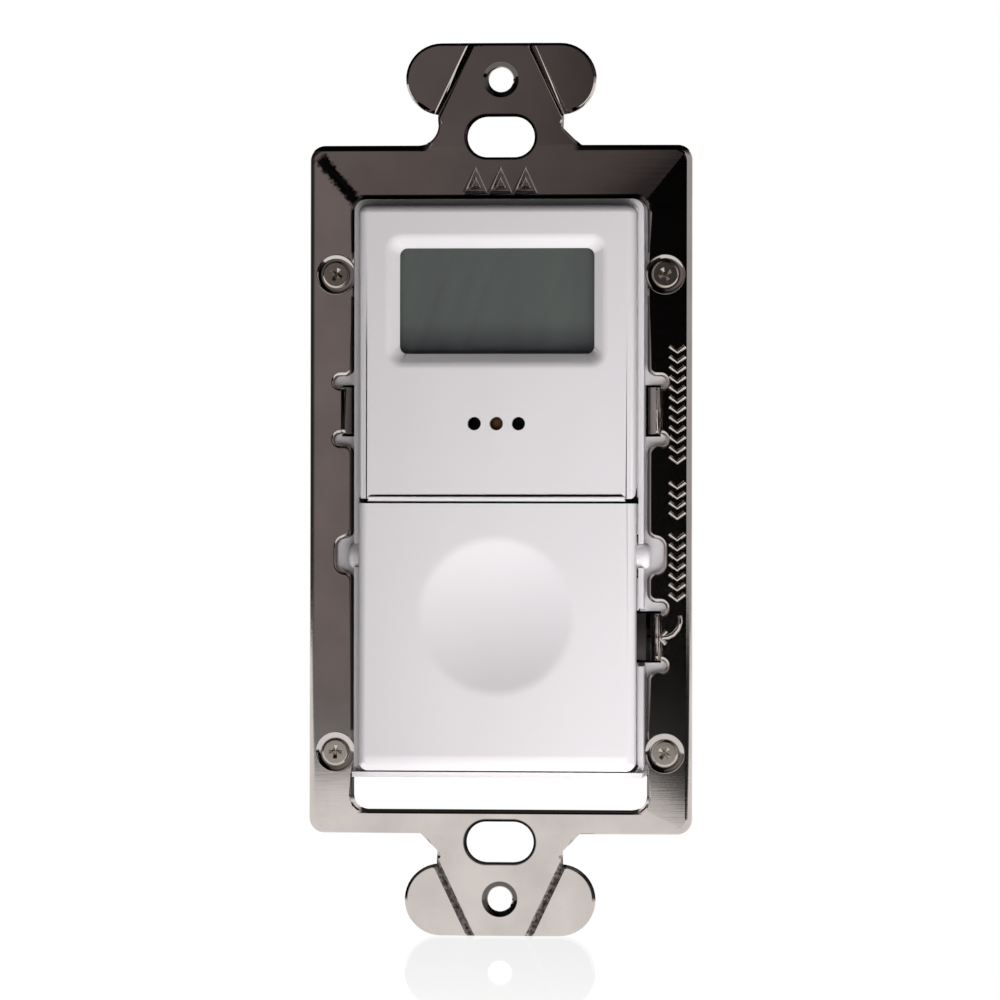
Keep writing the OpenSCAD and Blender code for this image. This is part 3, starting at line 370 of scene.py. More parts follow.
def rod(radius, front, back):
    """A new round bar along Y."""
    bpy.ops.object.select_all(action="DESELECT")
    bpy.ops.mesh.primitive_cylinder_add(vertices=ROD_SIDES, radius=radius, depth=back - front,
                                        location=(0, (front + back) / 2, 0), rotation=(math.pi / 2, 0, 0))
    return settle(bpy.context.object)


def squeeze(piece, test, value, middle, **more):
    """Resizes the vertices of a piece that pass the test, about a place."""
    with editing(piece, "VERT"):
        select_vertices(piece, test)
        bpy.ops.transform.resize(value=value, center_override=middle, **more)


def bevel(piece, test, width, segments, clamp=False):
    """Rounds the edges of a piece that pass the test, of which there has to be at least one."""
    with editing(piece):
        if not select_edges(piece, test):
            raise RuntimeError(f"{piece.name} has no edge to round")
        bpy.ops.mesh.bevel(offset=width, offset_type="OFFSET", segments=segments, profile=0.5,
                           affect="EDGES", clamp_overlap=clamp, loop_slide=clamp)


def apply(piece, kind, name, **settings):
    """Adds a modifier to a piece with its settings and applies it."""
    activate(piece)
    modifier = piece.modifiers.new(name, kind)
    for key, value in settings.items():
        setattr(modifier, key, value)
    bpy.ops.object.modifier_apply(modifier=modifier.name)


def smooth(piece, limit=SMOOTH):
    """Smooth shading that keeps sharp edges and flat faces."""
    activate(piece)
    bpy.ops.object.shade_smooth_by_angle(angle=limit, keep_sharp_edges=True)
    apply(piece, "WEIGHTED_NORMAL", "Flat faces", keep_sharp=True, weight=FACE_WEIGHT)


def link(piece):
    """Puts a new piece into the scene."""
    bpy.context.scene.collection.objects.link(piece)
    return piece


def node_copy(node, name, flatten=True):
    """A merged copy of a construction mesh, with its flat faces whole, as a new piece that stands for it."""
    piece = link(bpy.data.objects.new(name, NODES[node].data.copy()))
    piece.data.materials.clear()
    with editing(piece):
        bpy.ops.mesh.select_all(action="SELECT")
        bpy.ops.mesh.remove_doubles(threshold=MERGE)
        if flatten:
            bpy.ops.mesh.dissolve_limited(angle_limit=FLAT)
    return piece


def placed_copy(piece, name, place, turn):
    """A copy of a finished piece with its own mesh, turned about Y and moved."""
    copy = link(bpy.data.objects.new(name, piece.data.copy()))
    copy.rotation_euler = (0, turn, 0)
    copy.location = place
    return settle(copy)


def raised_lines(name, lines, surface, radius):
    """Rounded lines half sunk in a surface, as one mesh; lines hold (x, z) or (x, z, share of radius)."""
    curve = bpy.data.curves.new(name, "CURVE")
    curve.dimensions = "3D"
    curve.bevel_depth = radius
    curve.bevel_resolution = LINE_ROUND
    curve.use_fill_caps = True
    for line in lines:
        spline = curve.splines.new("POLY")
        spline.points.add(len(line) - 1)
        for point, (x, z, *share) in zip(spline.points, line):
            point.co = (x, surface(x, z), z, 1.0)
            point.radius = share[0] if share else 1.0
    piece = link(bpy.data.objects.new(name, curve))
    activate(piece)
    bpy.ops.object.convert(target="MESH")
    piece = bpy.context.object
    smooth(piece)
    return piece


def seat(piece, body, slot, *nodes):
    """Gives a finished piece the material of its record slot and its body, and hides the construction nodes
    that it stands for.
    """
    piece.data.materials.clear()
    piece.data.materials.append(material_for(slot))
    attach(piece, body)
    if nodes:
        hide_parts(*nodes)


# Materials

class Wiring:
    """A node tree under construction, where a value is a number, a colour or a socket."""

    def __init__(self, tree):
        self.tree = tree

    def add(self, kind, feeds=None, **settings):
        """Adds a node with its attributes set and its inputs fed."""
        made = self.tree.nodes.new(kind)
        for key, value in settings.items():
            setattr(made, key, value)
        for key, value in (feeds or {}).items():
            self.feed(value, made.inputs[key])
        return made

    def feed(self, value, socket):
        """Links a socket to another one, or sets it to a constant."""
        if isinstance(value, bpy.types.NodeSocket):
            self.tree.links.new(value, socket)
        else:
            socket.default_value = value

    def remap(self, value, start, end, low, high, kind="SMOOTHSTEP"):
        """A step from one range to another, smooth unless its kind is LINEAR."""
        feeds = {"Value": value, "From Min": start, "From Max": end, "To Min": low, "To Max": high}
        return self.add("ShaderNodeMapRange", feeds, interpolation_type=kind).outputs["Result"]

    def math(self, operation, first, second=0.0):
        """One or two values put through a sum, a root or the like."""
        return self.add("ShaderNodeMath", {0: first, 1: second}, operation=operation).outputs["Value"]

    def total(self, *values):
        """The sum of some values."""
        return reduce(lambda first, second: self.math("ADD", first, second), values)

    def product(self, *values):
        """Some values multiplied."""
        return reduce(lambda first, second: self.math("MULTIPLY", first, second), values)

    def largest(self, *values):
        """The largest of some values."""
        return reduce(lambda first, second: self.math("MAXIMUM", first, second), values)

    def minus(self, first, second):
        """The difference of two values."""
        return self.math("SUBTRACT", first, second)

    def size(self, value):
        """A value without its sign."""
        return self.math("ABSOLUTE", value)

    def mix(self, share, first, second):
        """Between two values by a share."""
        return self.add("ShaderNodeMix", {"Factor": share, "A": first, "B": second}).outputs["Result"]

    def axes(self, output):
        """X, Y and Z of a texture coordinate."""
        place = self.add("ShaderNodeTexCoord").outputs[output]
        split = self.add("ShaderNodeSeparateXYZ", {"Vector": place})
        return [split.outputs[axis] for axis in "XYZ"]

    def band(self, value, inner, outer, tone):
        """A tone between two fades, and one on either side of them."""
        return self.largest(self.remap(value, *outer, tone, 1.0), self.remap(value, *inner, 1.0, 0.0))

    def stadium(self, x, z, flat, radius):
        """Distance outwards from the edge of a slot with round ends, for x that isn't negative."""
        past = self.largest(self.minus(x, flat), 0.0)
        squares = self.total(self.product(past, past), self.product(z, z))
        return self.minus(self.math("SQRT", squares), radius)

    def line(self, x, z, start, along):
        """Distances along a line and to one side of it."""
        past_x, past_z = self.minus(x, start.x), self.minus(z, start.y)
        run = self.total(self.product(past_x, along.x), self.product(past_z, along.y))
        return run, self.minus(self.product(past_x, along.y), self.product(past_z, along.x))

    def by_ray(self, matt, shiny):
        """White for the camera, one value for shiny faces and another for matt ones."""
        path = self.add("ShaderNodeLightPath").outputs
        return self.mix(path["Is Camera Ray"], self.mix(path["Is Glossy Ray"], matt, shiny), 1.0)


class Finish(Wiring):
    """A material under construction, with textures on object coordinates."""

    def __init__(self, name, base, roughness, metallic=0.0):
        self.material = bpy.data.materials.new(name)
        self.material.use_nodes = True
        super().__init__(self.material.node_tree)
        self.shader = self.tree.nodes["Principled BSDF"]
        self.give("Base Color", (*base, 1.0))
        self.give("Roughness", roughness)
        self.give("Metallic", metallic)
        self.place = self.add("ShaderNodeTexCoord").outputs["Object"]

    def give(self, key, value):
        """Feeds one of the shader's inputs."""
        self.feed(value, self.shader.inputs[key])

    def given(self, key):
        """The socket that feeds one of the shader's inputs."""
        return self.shader.inputs[key].links[0].from_socket

    def noise(self, scale, detail, roughness=0.55):
        """A noise texture's value, with its scale per axis."""
        place = self.add("ShaderNodeMapping", {"Vector": self.place, "Scale": scale}).outputs["Vector"]
        feeds = {"Vector": place, "Scale": 1.0, "Detail": detail, "Roughness": roughness}
        return self.add("ShaderNodeTexNoise", feeds).outputs["Fac"]

    def spread(self, value, low, high):
        """Maps a 0 to 1 value to a range."""
        return self.remap(value, 0.0, 1.0, low, high, "LINEAR")

    def tint(self, value, dark, light, start=0.3, end=0.7):
        """Colours the base between two colours by a value."""
        made = self.add("ShaderNodeValToRGB", {"Fac": value})
        for stop, place, tone in zip(made.color_ramp.elements, (start, end), (dark, light)):
            stop.position = place
            stop.color = (*tone, 1.0)
        self.give("Base Color", made.outputs["Color"])

    def rough(self, value, low, high):
        """Varies the roughness by a value."""
        self.give("Roughness", self.spread(value, low, high))

    def bump(self, value, depth):
        """Raises the surface by a value times a depth in metres."""
        made = self.add("ShaderNodeBump", {"Strength": 1.0, "Distance": depth, "Height": value})
        self.give("Normal", made.outputs["Normal"])


class StrapFinish(Finish):
    """Plating with painted dark reflection on the strap's rims and ears and along its crease, and rough in
    its lower scores.
    """

    def burnish(self):
        """Paints dark reflection into the plating's colour on the rims, ears and crease, darkens the scores
        unevenly and dulls the scores and tabs.
        """
        self.x, self.y, self.z = self.axes("Object")
        self.across, self.up = self.size(self.x), self.size(self.z)
        self.beside = self.minus(self.across, WINDOW_X)
        self.past_neck = self.minus(self.across, NECK_HALF)
        self.ragged = self.noise((RAGGED, RAGGED, RAGGED), 3.0, 0.5)
        # Painted dark reflection: the rims, the upper edges of the ears and the crease are darkened in
        # colour, on the front only
        tone = self.product(self.rim_tone(), self.ear_tone(), self.crease_tone())
        tone = self.largest(tone, self.remap(self.y, *STRAP_BACK, 0.0, 1.0))
        score = self.score_share()
        knurl = self.remap(self.ragged, *KNURL_FADE, SCORE_DARK, SCORE_LIGHT)
        tone = self.product(tone, self.mix(score, 1.0, knurl))
        plain = {"Vector": self.given("Base Color"), "Scale": tone}
        self.give("Base Color", self.add("ShaderNodeVectorMath", plain, operation="SCALE").outputs["Vector"])
        # The painted dark reflection also dims the tint of the plating's own reflections
        self.give("Specular Tint", tone)
        tab = self.product(self.remap(self.product(self.beside, -1.0), *TAB_FADE, 0.0, TAB_DULL),
                           self.remap(self.up, *TAB_REACH, 1.0, 0.0))
        self.give("Roughness", self.mix(self.largest(score, tab), self.given("Roughness"), SCORE_ROUGH))

    def rim_tone(self):
        """Painted dark reflection on the rims of the window, the slots and the plate holes and along the
        body's top edge.
        """
        out = self.largest(self.minus(self.z, WINDOW_TOP), self.minus(WINDOW_LOW, self.z))
        ends = self.largest(self.band(out, RIM_IN, RIM_OUT, RIM_TONE),
                            self.remap(self.beside, *RIM_SIDE, 0.0, 1.0))
        side_tone = self.remap(self.x, *HALVES, *SIDE_TONES)
        sides = self.largest(self.band(self.beside, RIM_IN, SIDE_OUT, side_tone),
                             self.remap(out, *SIDE_END, 0.0, 1.0))
        for screw_z in (SCREW_TOP, SCREW_BOTTOM):
            near = self.size(self.minus(self.z, screw_z))
            sides = self.largest(sides, self.remap(near, *SCREW_CLEAR, 1.0, 0.0))
        slot = self.stadium(self.across, self.minus(self.up, SLOT_Z), SLOT_FLAT, SLOT_R)
        hole = self.stadium(self.across, self.minus(self.up, PLATE_HOLE_Z), 0.0, PLATE_HOLE_R)
        edge = self.largest(self.band(self.minus(BODY_HALF_Z, self.z), EDGE_IN, EDGE_OUT, EDGE_TONE),
                            self.remap(self.past_neck, *EDGE_SIDE, 1.0, 0.0))
        return self.product(ends, sides, self.remap(slot, *SLOT_OUT, SLOT_TONE, 1.0),
                            self.band(hole, HOLE_IN, HOLE_OUT, HOLE_TONE), edge)

    def ear_tone(self):
        """Painted dark reflection on the rim of the upper half of each ear."""
        rise = self.minus(self.up, EAR_MIDDLE)
        inward = self.product(self.stadium(self.across, rise, EAR_FLAT, EAR_R), -1.0)
        toward = self.product(rise, self.math("SIGN", self.z))
        neck = self.product(self.remap(self.past_neck, *NECK_FADE, 1.0, 0.0),
                            self.remap(self.z, *HALVES, 1.0, 0.0))
        return self.largest(self.band(inward, EAR_IN, EAR_OUT, EAR_TONE),
                            self.remap(toward, *EAR_TURN, 1.0, 0.0), neck)

    def crease_tone(self):
        """Painted dark reflection along the crease in the upper left corner, with a ragged edge."""
        along, across = self.line(self.x, self.z, MITRE_START, MITRE_ALONG)
        stray = self.remap(self.ragged, *STRAY_FADE, -CREASE_STRAY, CREASE_STRAY, "LINEAR")
        reach = self.total(self.size(across), stray)
        return self.largest(self.remap(reach, *CREASE_OUT, CREASE_TONE, 1.0),
                            self.remap(along, *CREASE_END, 0.0, 1.0),
                            self.remap(along, *CREASE_START, 1.0, 0.0),
                            self.remap(self.y, *CREASE_BACK, 0.0, 1.0))

    def score_share(self):
        """One in the score lines on the front of the lower ear, zero elsewhere."""
        down = self.product(self.z, -1.0)
        away = self.line(self.across, down, SCORE_FOOT, SCORE_ALONG)[1]
        return self.product(self.remap(self.size(away), *SCORE_OUT, 1.0, 0.0),
                            self.remap(down, EAR_Z, EAR_Z + MM, 0.0, 1.0),
                            self.remap(self.y, *SCORE_BACK, 1.0, 0.0))


def shade(base, amount):
    """A colour made lighter or darker by a factor."""
    return tuple(min(1.0, part * amount) for part in base)


def plated_metal(name, base, low=0.22, high=0.34, depth=0.0006 * MM, kind=Finish):
    """Nickel plate over rolled steel, with a fine grain along X and cloudy polish."""
    finish = kind(name, base, low, metallic=1.0)
    grain = finish.noise(GRAIN, 4.0)
    finish.tint(finish.noise(CLOUD, 3.0), *(shade(base, amount) for amount in CLOUD_SHADES))
    finish.rough(grain, low, high)
    finish.bump(grain, depth)
    return finish


def strap_plate(name, base):
    """Plating of the strap, smoother than the rest, with painted dark reflection on its rims, ears and
    crease.
    """
    finish = plated_metal(name, base, 0.045, 0.085, 0.0007 * MM, StrapFinish)
    finish.burnish()
    return finish


def moulded_plastic(name, base, roughness=0.45, depth=0.004 * MM):
    """Moulded plastic with a faint spark texture and slight flow marks."""
    finish = Finish(name, base, roughness)
    spark = finish.noise(SPARK, 2.0)
    finish.tint(finish.noise(FLOW, 2.0), *(shade(base, amount) for amount in FLOW_SHADES))
    finish.rough(spark, *(roughness * share for share in SPARK_SHARES))
    finish.bump(spark, depth)
    return finish


def display_glass(name, base):
    """Unpowered liquid crystal with painted reflection: soft bands and a darker foot."""
    finish = Finish(name, base, 0.35)
    edges = [LENS_LOW.z + share * (LENS_HIGH.z - LENS_LOW.z) for share in FOOT_SHARES]
    # Painted reflection: the display is darker towards its foot and lighter in soft bands
    foot = finish.remap(finish.axes("Object")[2], *edges, 0.0, FOOT_LIGHT)
    band = finish.spread(finish.noise(REFLECTION_BANDS, 1.0), 0.0, REFLECTION_BAND_LIGHT)
    dark = [part * share for part, share in zip(base, GLASS_DARK)]
    finish.tint(finish.total(foot, band), dark, shade(base, GLASS_LIGHT), *GLASS_STOPS)
    return finish


def clear_window(name, base):
    """Clear moulded window over the display, with a faint smoky tint that varies across it."""
    finish = Finish(name, base, 0.05)
    haze = finish.noise(HAZE, 2.0)
    finish.rough(haze, *LENS_ROUGH)
    finish.give("Alpha", finish.spread(haze, *LENS_ALPHA))
    return finish


def circuit_board(name, base):
    """Solder mask with faint copper tracks under it."""
    finish = Finish(name, base, 0.4)
    x, _, z = finish.axes("Object")
    flat = finish.add("ShaderNodeCombineXYZ", {"X": x, "Y": z}).outputs["Vector"]
    feeds = {key: (*shade(base, amount), 1.0) for key, amount in TRACK_SHADES.items()}
    feeds.update({"Vector": flat, "Scale": TRACKS, "Mortar Size": TRACK_GAP})
    finish.give("Base Color", finish.add("ShaderNodeTexBrick", feeds, offset=0.5).outputs["Color"])
    return finish


def material_for(slot):
    """The material of a record slot, made once."""
    name = "finish_" + slot
    known = bpy.data.materials.get(name)
    if known is None:
        maker, base, *settings = FINISHES[slot]
        if isinstance(base, str):
            base = tuple(getattr(bpy.context.scene.switch_finishes, base))
        known = maker(name, base, *settings).material
    return known


# The maker of each slot's finish, with a colour or the name of a colour property, and its settings
FINISHES = {
    "nickel_plate": (strap_plate, "nickel"),
    "screw_steel": (plated_metal, "screw", 0.12, 0.2),
    "white_moulding": (moulded_plastic, "housing", 0.42),
    "white_face": (moulded_plastic, "face", 0.33),
    "housing_plastic": (moulded_plastic, "housing", 0.5, 0.008 * MM),
    "lens_clear": (clear_window, (0.05, 0.055, 0.05)),
    "display_glass": (display_glass, "glass"),
    "key_plastic": (moulded_plastic, "key"),
    "board_laminate": (circuit_board, "board"),
    "terminal_brass": (plated_metal, "brass", 0.24, 0.36),
    # Painted shade: the lamp's amber is darkened to stand for the shade down its pinhole
    "amber_lamp": (moulded_plastic, (0.13, 0.065, 0.012), 0.3),
    "tray_plastic": (moulded_plastic, (0.85, 0.85, 0.82)),
    "contact_rubber": (moulded_plastic, (0.16, 0.15, 0.17), 0.7),
    "switch_plastic": (moulded_plastic, (0.03, 0.03, 0.033)),
    # Painted shade: the stems are near black to stand for the shade down the pinholes
    "stem_plastic": (moulded_plastic, (0.012, 0.011, 0.011), 0.6),
    "dome_rubber": (moulded_plastic, (0.55, 0.53, 0.50), 0.6),
    "chip_plastic": (moulded_plastic, (0.02, 0.02, 0.022), 0.5),
    "can_metal": (plated_metal, (0.66, 0.65, 0.62)),
    "clip_steel": (plated_metal, (0.60, 0.59, 0.56)),
    "spacer_plastic": (moulded_plastic, (0.78, 0.77, 0.73)),
    "relay_plastic": (moulded_plastic, (0.025, 0.05, 0.09), 0.35),
    "capacitor_coat": (moulded_plastic, (0.45, 0.06, 0.03), 0.3),
    "can_sleeve": (moulded_plastic, (0.03, 0.045, 0.11), 0.3),
    "disc_coat": (moulded_plastic, (0.04, 0.14, 0.36)),
    "fuse_body": (moulded_plastic, (0.70, 0.63, 0.48), 0.4),
    "ferrite": (moulded_plastic, (0.045, 0.045, 0.045), 0.55),
}


# The pieces

def strap_bar(x, z):
    """How far out a place is on the strap, 0 at the window and 1 at the body's edge, and on which bar."""
    return max(((abs(x) - WINDOW_X) / BAR_SIDE, "right" if x > 0 else "left"),
               ((z - WINDOW_TOP) / BAR_TOP, "top"),
               ((WINDOW_LOW - z) / BAR_LOW, "bottom"))


def strap_face(x, z):
    """Y of the strap's sloping face at a place on its bars or its ears."""
    return -STRAP_T - CROWN * (1 - min(1, strap_bar(x, z)[0]))


def on_face(place):
    """Whether a place is on the strap's front."""
    return abs(place.y - strap_face(place.x, place.z)) < NEAR_FACE


class SWITCH_OT_strap(bpy.types.Operator):
    """Rolls the edges of the stamped strap, sinks its corner crease and plates it"""

    bl_idname = "timer_switch.strap"
    bl_label = "Mounting strap"

    def execute(self, context):
        sizes = context.scene.switch_sizes
        piece = node_copy("mounting_strap", "strap_plate", flatten=False)

        with editing(piece):
            bpy.ops.mesh.select_all(action="SELECT")
            bpy.ops.mesh.remove_doubles(threshold=SHORT)

        def rim(first, second):
            low, high = sorted((first.y, second.y))
            return low < -RIM_FRONT and abs(high) < RIM_WALL

        def beside_screw(place):
            return any(Vector((abs(place.x) - SCREW_X, place.z - z)).length < DIMPLE_R
                       for z in (SCREW_TOP, SCREW_BOTTOM))

        def in_slot(place):
            return abs(place.x) < SLOT_HALF_X and abs(abs(place.z) - SLOT_Z) < SLOT_REACH

        def in_window(place):
            return abs(place.x) < NOTCH_X and WINDOW_LOW - MM < place.z < WINDOW_TOP + MM

        def in_hole(place):
            return Vector((place.x, abs(place.z) - PLATE_HOLE_Z)).length < PLATE_RIM_R

        def outside(place):
            return not (in_window(place) or in_slot(place) or in_hole(place))

        def mitre(first, second):
            return max(first.y, second.y) < -FACING and abs(first.x - second.x) > BENT \
                and abs(first.z - second.z) > BENT

        def flat(place, normal):
            return normal.y > FLAT_BACK or on_face(place) and normal.y < -FACING

        def on_ear(place):
            return outside(place) and abs(place.z) > EAR_Z

        def on_body(place):
            return outside(place) and abs(place.z) <= EAR_Z

        for place, width, segments in ((in_window, sizes.window_roll, 4), (in_slot, sizes.slot_roll, 4),
                                       (on_ear, sizes.ear_roll, 4), (on_body, sizes.outer_roll, 5)):
            bevel(piece, lambda m, a, b: rim(a, b) and place(m) and not beside_screw(m), width, segments)
        self.flatten(piece)
        with editing(piece, "FACE"):
            select_faces(piece, flat)
            bpy.ops.mesh.dissolve_limited(angle_limit=FLAT)
        self.crease(piece, sizes)
        with editing(piece):
            select_edges(piece, lambda m, a, b: on_face(m) and (mitre(a, b) or a.angle(b) > FACET))
            bpy.ops.mesh.mark_sharp()
        with editing(piece, "FACE"):
            select_faces(piece, flat)
            bpy.ops.mesh.mod_weighted_strength(set=True, face_strength="STRONG")
        activate(piece)
        bpy.ops.object.shade_smooth_by_angle(angle=ROLLED, keep_sharp_edges=True)
        apply(piece, "WEIGHTED_NORMAL", "Flat faces", keep_sharp=True, use_face_influence=True)
        seat(piece, "frame", "nickel_plate", "mounting_strap")
        return {"FINISHED"}

    def flatten(self, piece):
        """Presses the front of each bar and the ears flat again after the edges are rolled."""
        for bar, outward in OUTWARD.items():
            upward = Vector((0, 0, 1)) if outward.z == 0 else Vector((1, 0, 0))
            normal = outward.normalized()
            x, z = {"left": (-WINDOW_X, 0), "right": (WINDOW_X, 0), "top": (0, WINDOW_TOP),
                    "bottom": (0, WINDOW_LOW), "ear": (0, BODY_HALF_Z)}[bar]

            def on_bar(place):
                share, name = strap_bar(place.x, place.z)
                return on_face(place) and bar == ("ear" if share > 1 else name)

            squeeze(piece, on_bar, FLATTEN, (x, strap_face(x, z), z),
                    orient_matrix=(normal.cross(upward), normal, upward))
        squeeze(piece, lambda place: abs(place.y) < NEAR_FACE, FLATTEN, (0, 0, 0))

    def crease(self, piece, sizes):
        """Sinks a valley along the mitre of the upper left corner."""
        middle = MITRE_START + MITRE_ALONG * (CREASE_INSET + CREASE_RUN / 2)
        cutter = block((CREASE_RUN, 2 * sizes.crease_depth, 2 * sizes.crease_half))
        squeeze(cutter, lambda place: place.y > 0, CREASE_FOOT, (0, 0, 0))
        cutter.rotation_euler = (0, math.atan2(-MITRE_ALONG.y, MITRE_ALONG.x), 0)
        cutter.location = (middle.x, strap_face(middle.x, middle.y), middle.y)
        settle(cutter)
        apply(piece, "BOOLEAN", "Crease", object=cutter, operation="DIFFERENCE", solver="EXACT")
        bpy.data.objects.remove(cutter)


class SWITCH_OT_screws(bpy.types.Operator):
    """Models one cross-recess pan head screw and sets four of them in the strap"""

    bl_idname = "timer_switch.screws"
    bl_label = "Strap screws"

    def execute(self, context):
        pattern, cup = self.pattern(), self.cup()
        for name, degrees in SCREW_TURNS.items():
            x = SCREW_X if name.endswith("right") else -SCREW_X
            z = SCREW_TOP if name.startswith("upper") else SCREW_BOTTOM
            screw = placed_copy(pattern, "strap_screw_" + name, (x, SCREW_LOW.y, z), math.radians(degrees))
            smooth(screw)
            seat(screw, "frame", "screw_steel", "strap_screws")
            ring = placed_copy(cup, "screw_cup_" + name, (x, strap_face(x, z), z), 0)
            smooth(ring)
            seat(ring, "frame", "nickel_plate")
        bpy.data.objects.remove(pattern)
        bpy.data.objects.remove(cup)
        return {"FINISHED"}

    def cup(self):
        """A pressed cup along Y that lines a dimple, with the strap's face at the origin."""
        ring = rod(CUP_R, -CUP_PROUD, CUP_REACH)
        with editing(ring, "FACE"):
            select_faces(ring, lambda place, normal: normal.y < -FACING)
            bpy.ops.mesh.inset(thickness=CUP_RIM)
            bpy.ops.mesh.inset(thickness=CUP_R - CUP_FLOOR_R - CUP_RIM)
            bpy.ops.transform.translate(value=(0, CUP_DEPTH, 0))
        squeeze(ring, lambda place: place.y > CUP_REACH - TOUCH, (CUP_BACK, 1, CUP_BACK), (0, CUP_REACH, 0))
        bevel(ring, lambda m, a, b: m.y < TOUCH - CUP_PROUD, CUP_EDGE, 3)
        return ring

    def pattern(self):
        """A screw along Y with the front of its head at the origin."""
        shank = SCREW_HIGH.y - SCREW_LOW.y - SCREW_HEAD
        screw = rod(SCREW_R, 0, SCREW_HEAD)
        with editing(screw, "FACE"):
            select_faces(screw, lambda place, normal: normal.y > FACING)
            bpy.ops.mesh.inset(thickness=SCREW_R - SCREW_SHANK_R)
            bpy.ops.mesh.extrude_region_move(TRANSFORM_OT_translate={"value": (0, shank, 0)})
        bevel(screw, lambda m, a, b: m.y < TOUCH, HEAD_EDGE, 5)
        cutter = block((RECESS_LONG, 2 * RECESS, RECESS_WIDE))
        squeeze(cutter, lambda place: place.y > 0, RECESS_FOOT, (0, RECESS, 0))
        with editing(cutter, "VERT"):
            bpy.ops.mesh.select_all(action="SELECT")
            bpy.ops.mesh.duplicate()
            bpy.ops.transform.rotate(value=math.pi / 2, orient_axis="Y", center_override=(0, 0, 0))
        apply(screw, "BOOLEAN", "Cross recess", object=cutter, operation="DIFFERENCE", solver="EXACT",
              use_self=True)
        bpy.data.objects.remove(cutter)
        return screw


class SWITCH_OT_marks(bpy.types.Operator):
    """Presses raised marks into the strap: which way is up, and how to open the door"""

    bl_idname = "timer_switch.marks"
    bl_label = "Pressed marks"

    def execute(self, context):
        wire = context.scene.switch_sizes.mark_wire
        for name, lines, radius in (("up_marks", self.triangles(), wire),
                                    ("opening_marks", self.chevrons(), wire),
                                    ("opening_arrow", self.arrow(), ARROW_WIDER * wire)):
            seat(raised_lines(name, lines, strap_face, radius), "frame", "nickel_plate")
        return {"FINISHED"}

    def triangles(self):
        """Three triangles side by side on the top bar, pointing up, each with a smaller one in it."""
        half, pitch, low, high, inner = 1.3 * MM, 2.95 * MM, 35.05 * MM, 38.0 * MM, 0.42
        middle = low + (high - low) / 3
        lines = []
        for x in (-pitch, 0, pitch):
            outer = ((x - half, low), (x, high), (x + half, low), (x - half, low))
            lines.append(outer)
            lines.append([(x + (px - x) * inner, middle + (pz - middle) * inner) for px, pz in outer])
        return lines

    def chevrons(self):
        """Three groups of chevrons down the right bar, pointing at the ramp."""
        middle, half, rise, pitch = 20.95 * MM, 0.9 * MM, 0.7 * MM, 1.18 * MM
        lines = []
        for start, count in ((16.9, 12), (0.9, 4), (-5.2, 7)):
            for step in range(count):
                z = start * MM - step * pitch
                lines.append(((middle - half, z), (middle, z - rise), (middle + half, z)))
        return lines

    def arrow(self):
        """A curved arrow from the right bar to the ramp's bend."""
        shaft = ((21.25, -14.85), (21.3, -15.6), (21.05, -16.4), (20.5, -17.05), (19.9, -17.35),
                 (19.2, -17.45))
        head = ((19.7, -16.65), (18.95, -17.5), (19.65, -18.2))
        return [[mm(x, z) for x, z in line] for line in (shaft, head)]


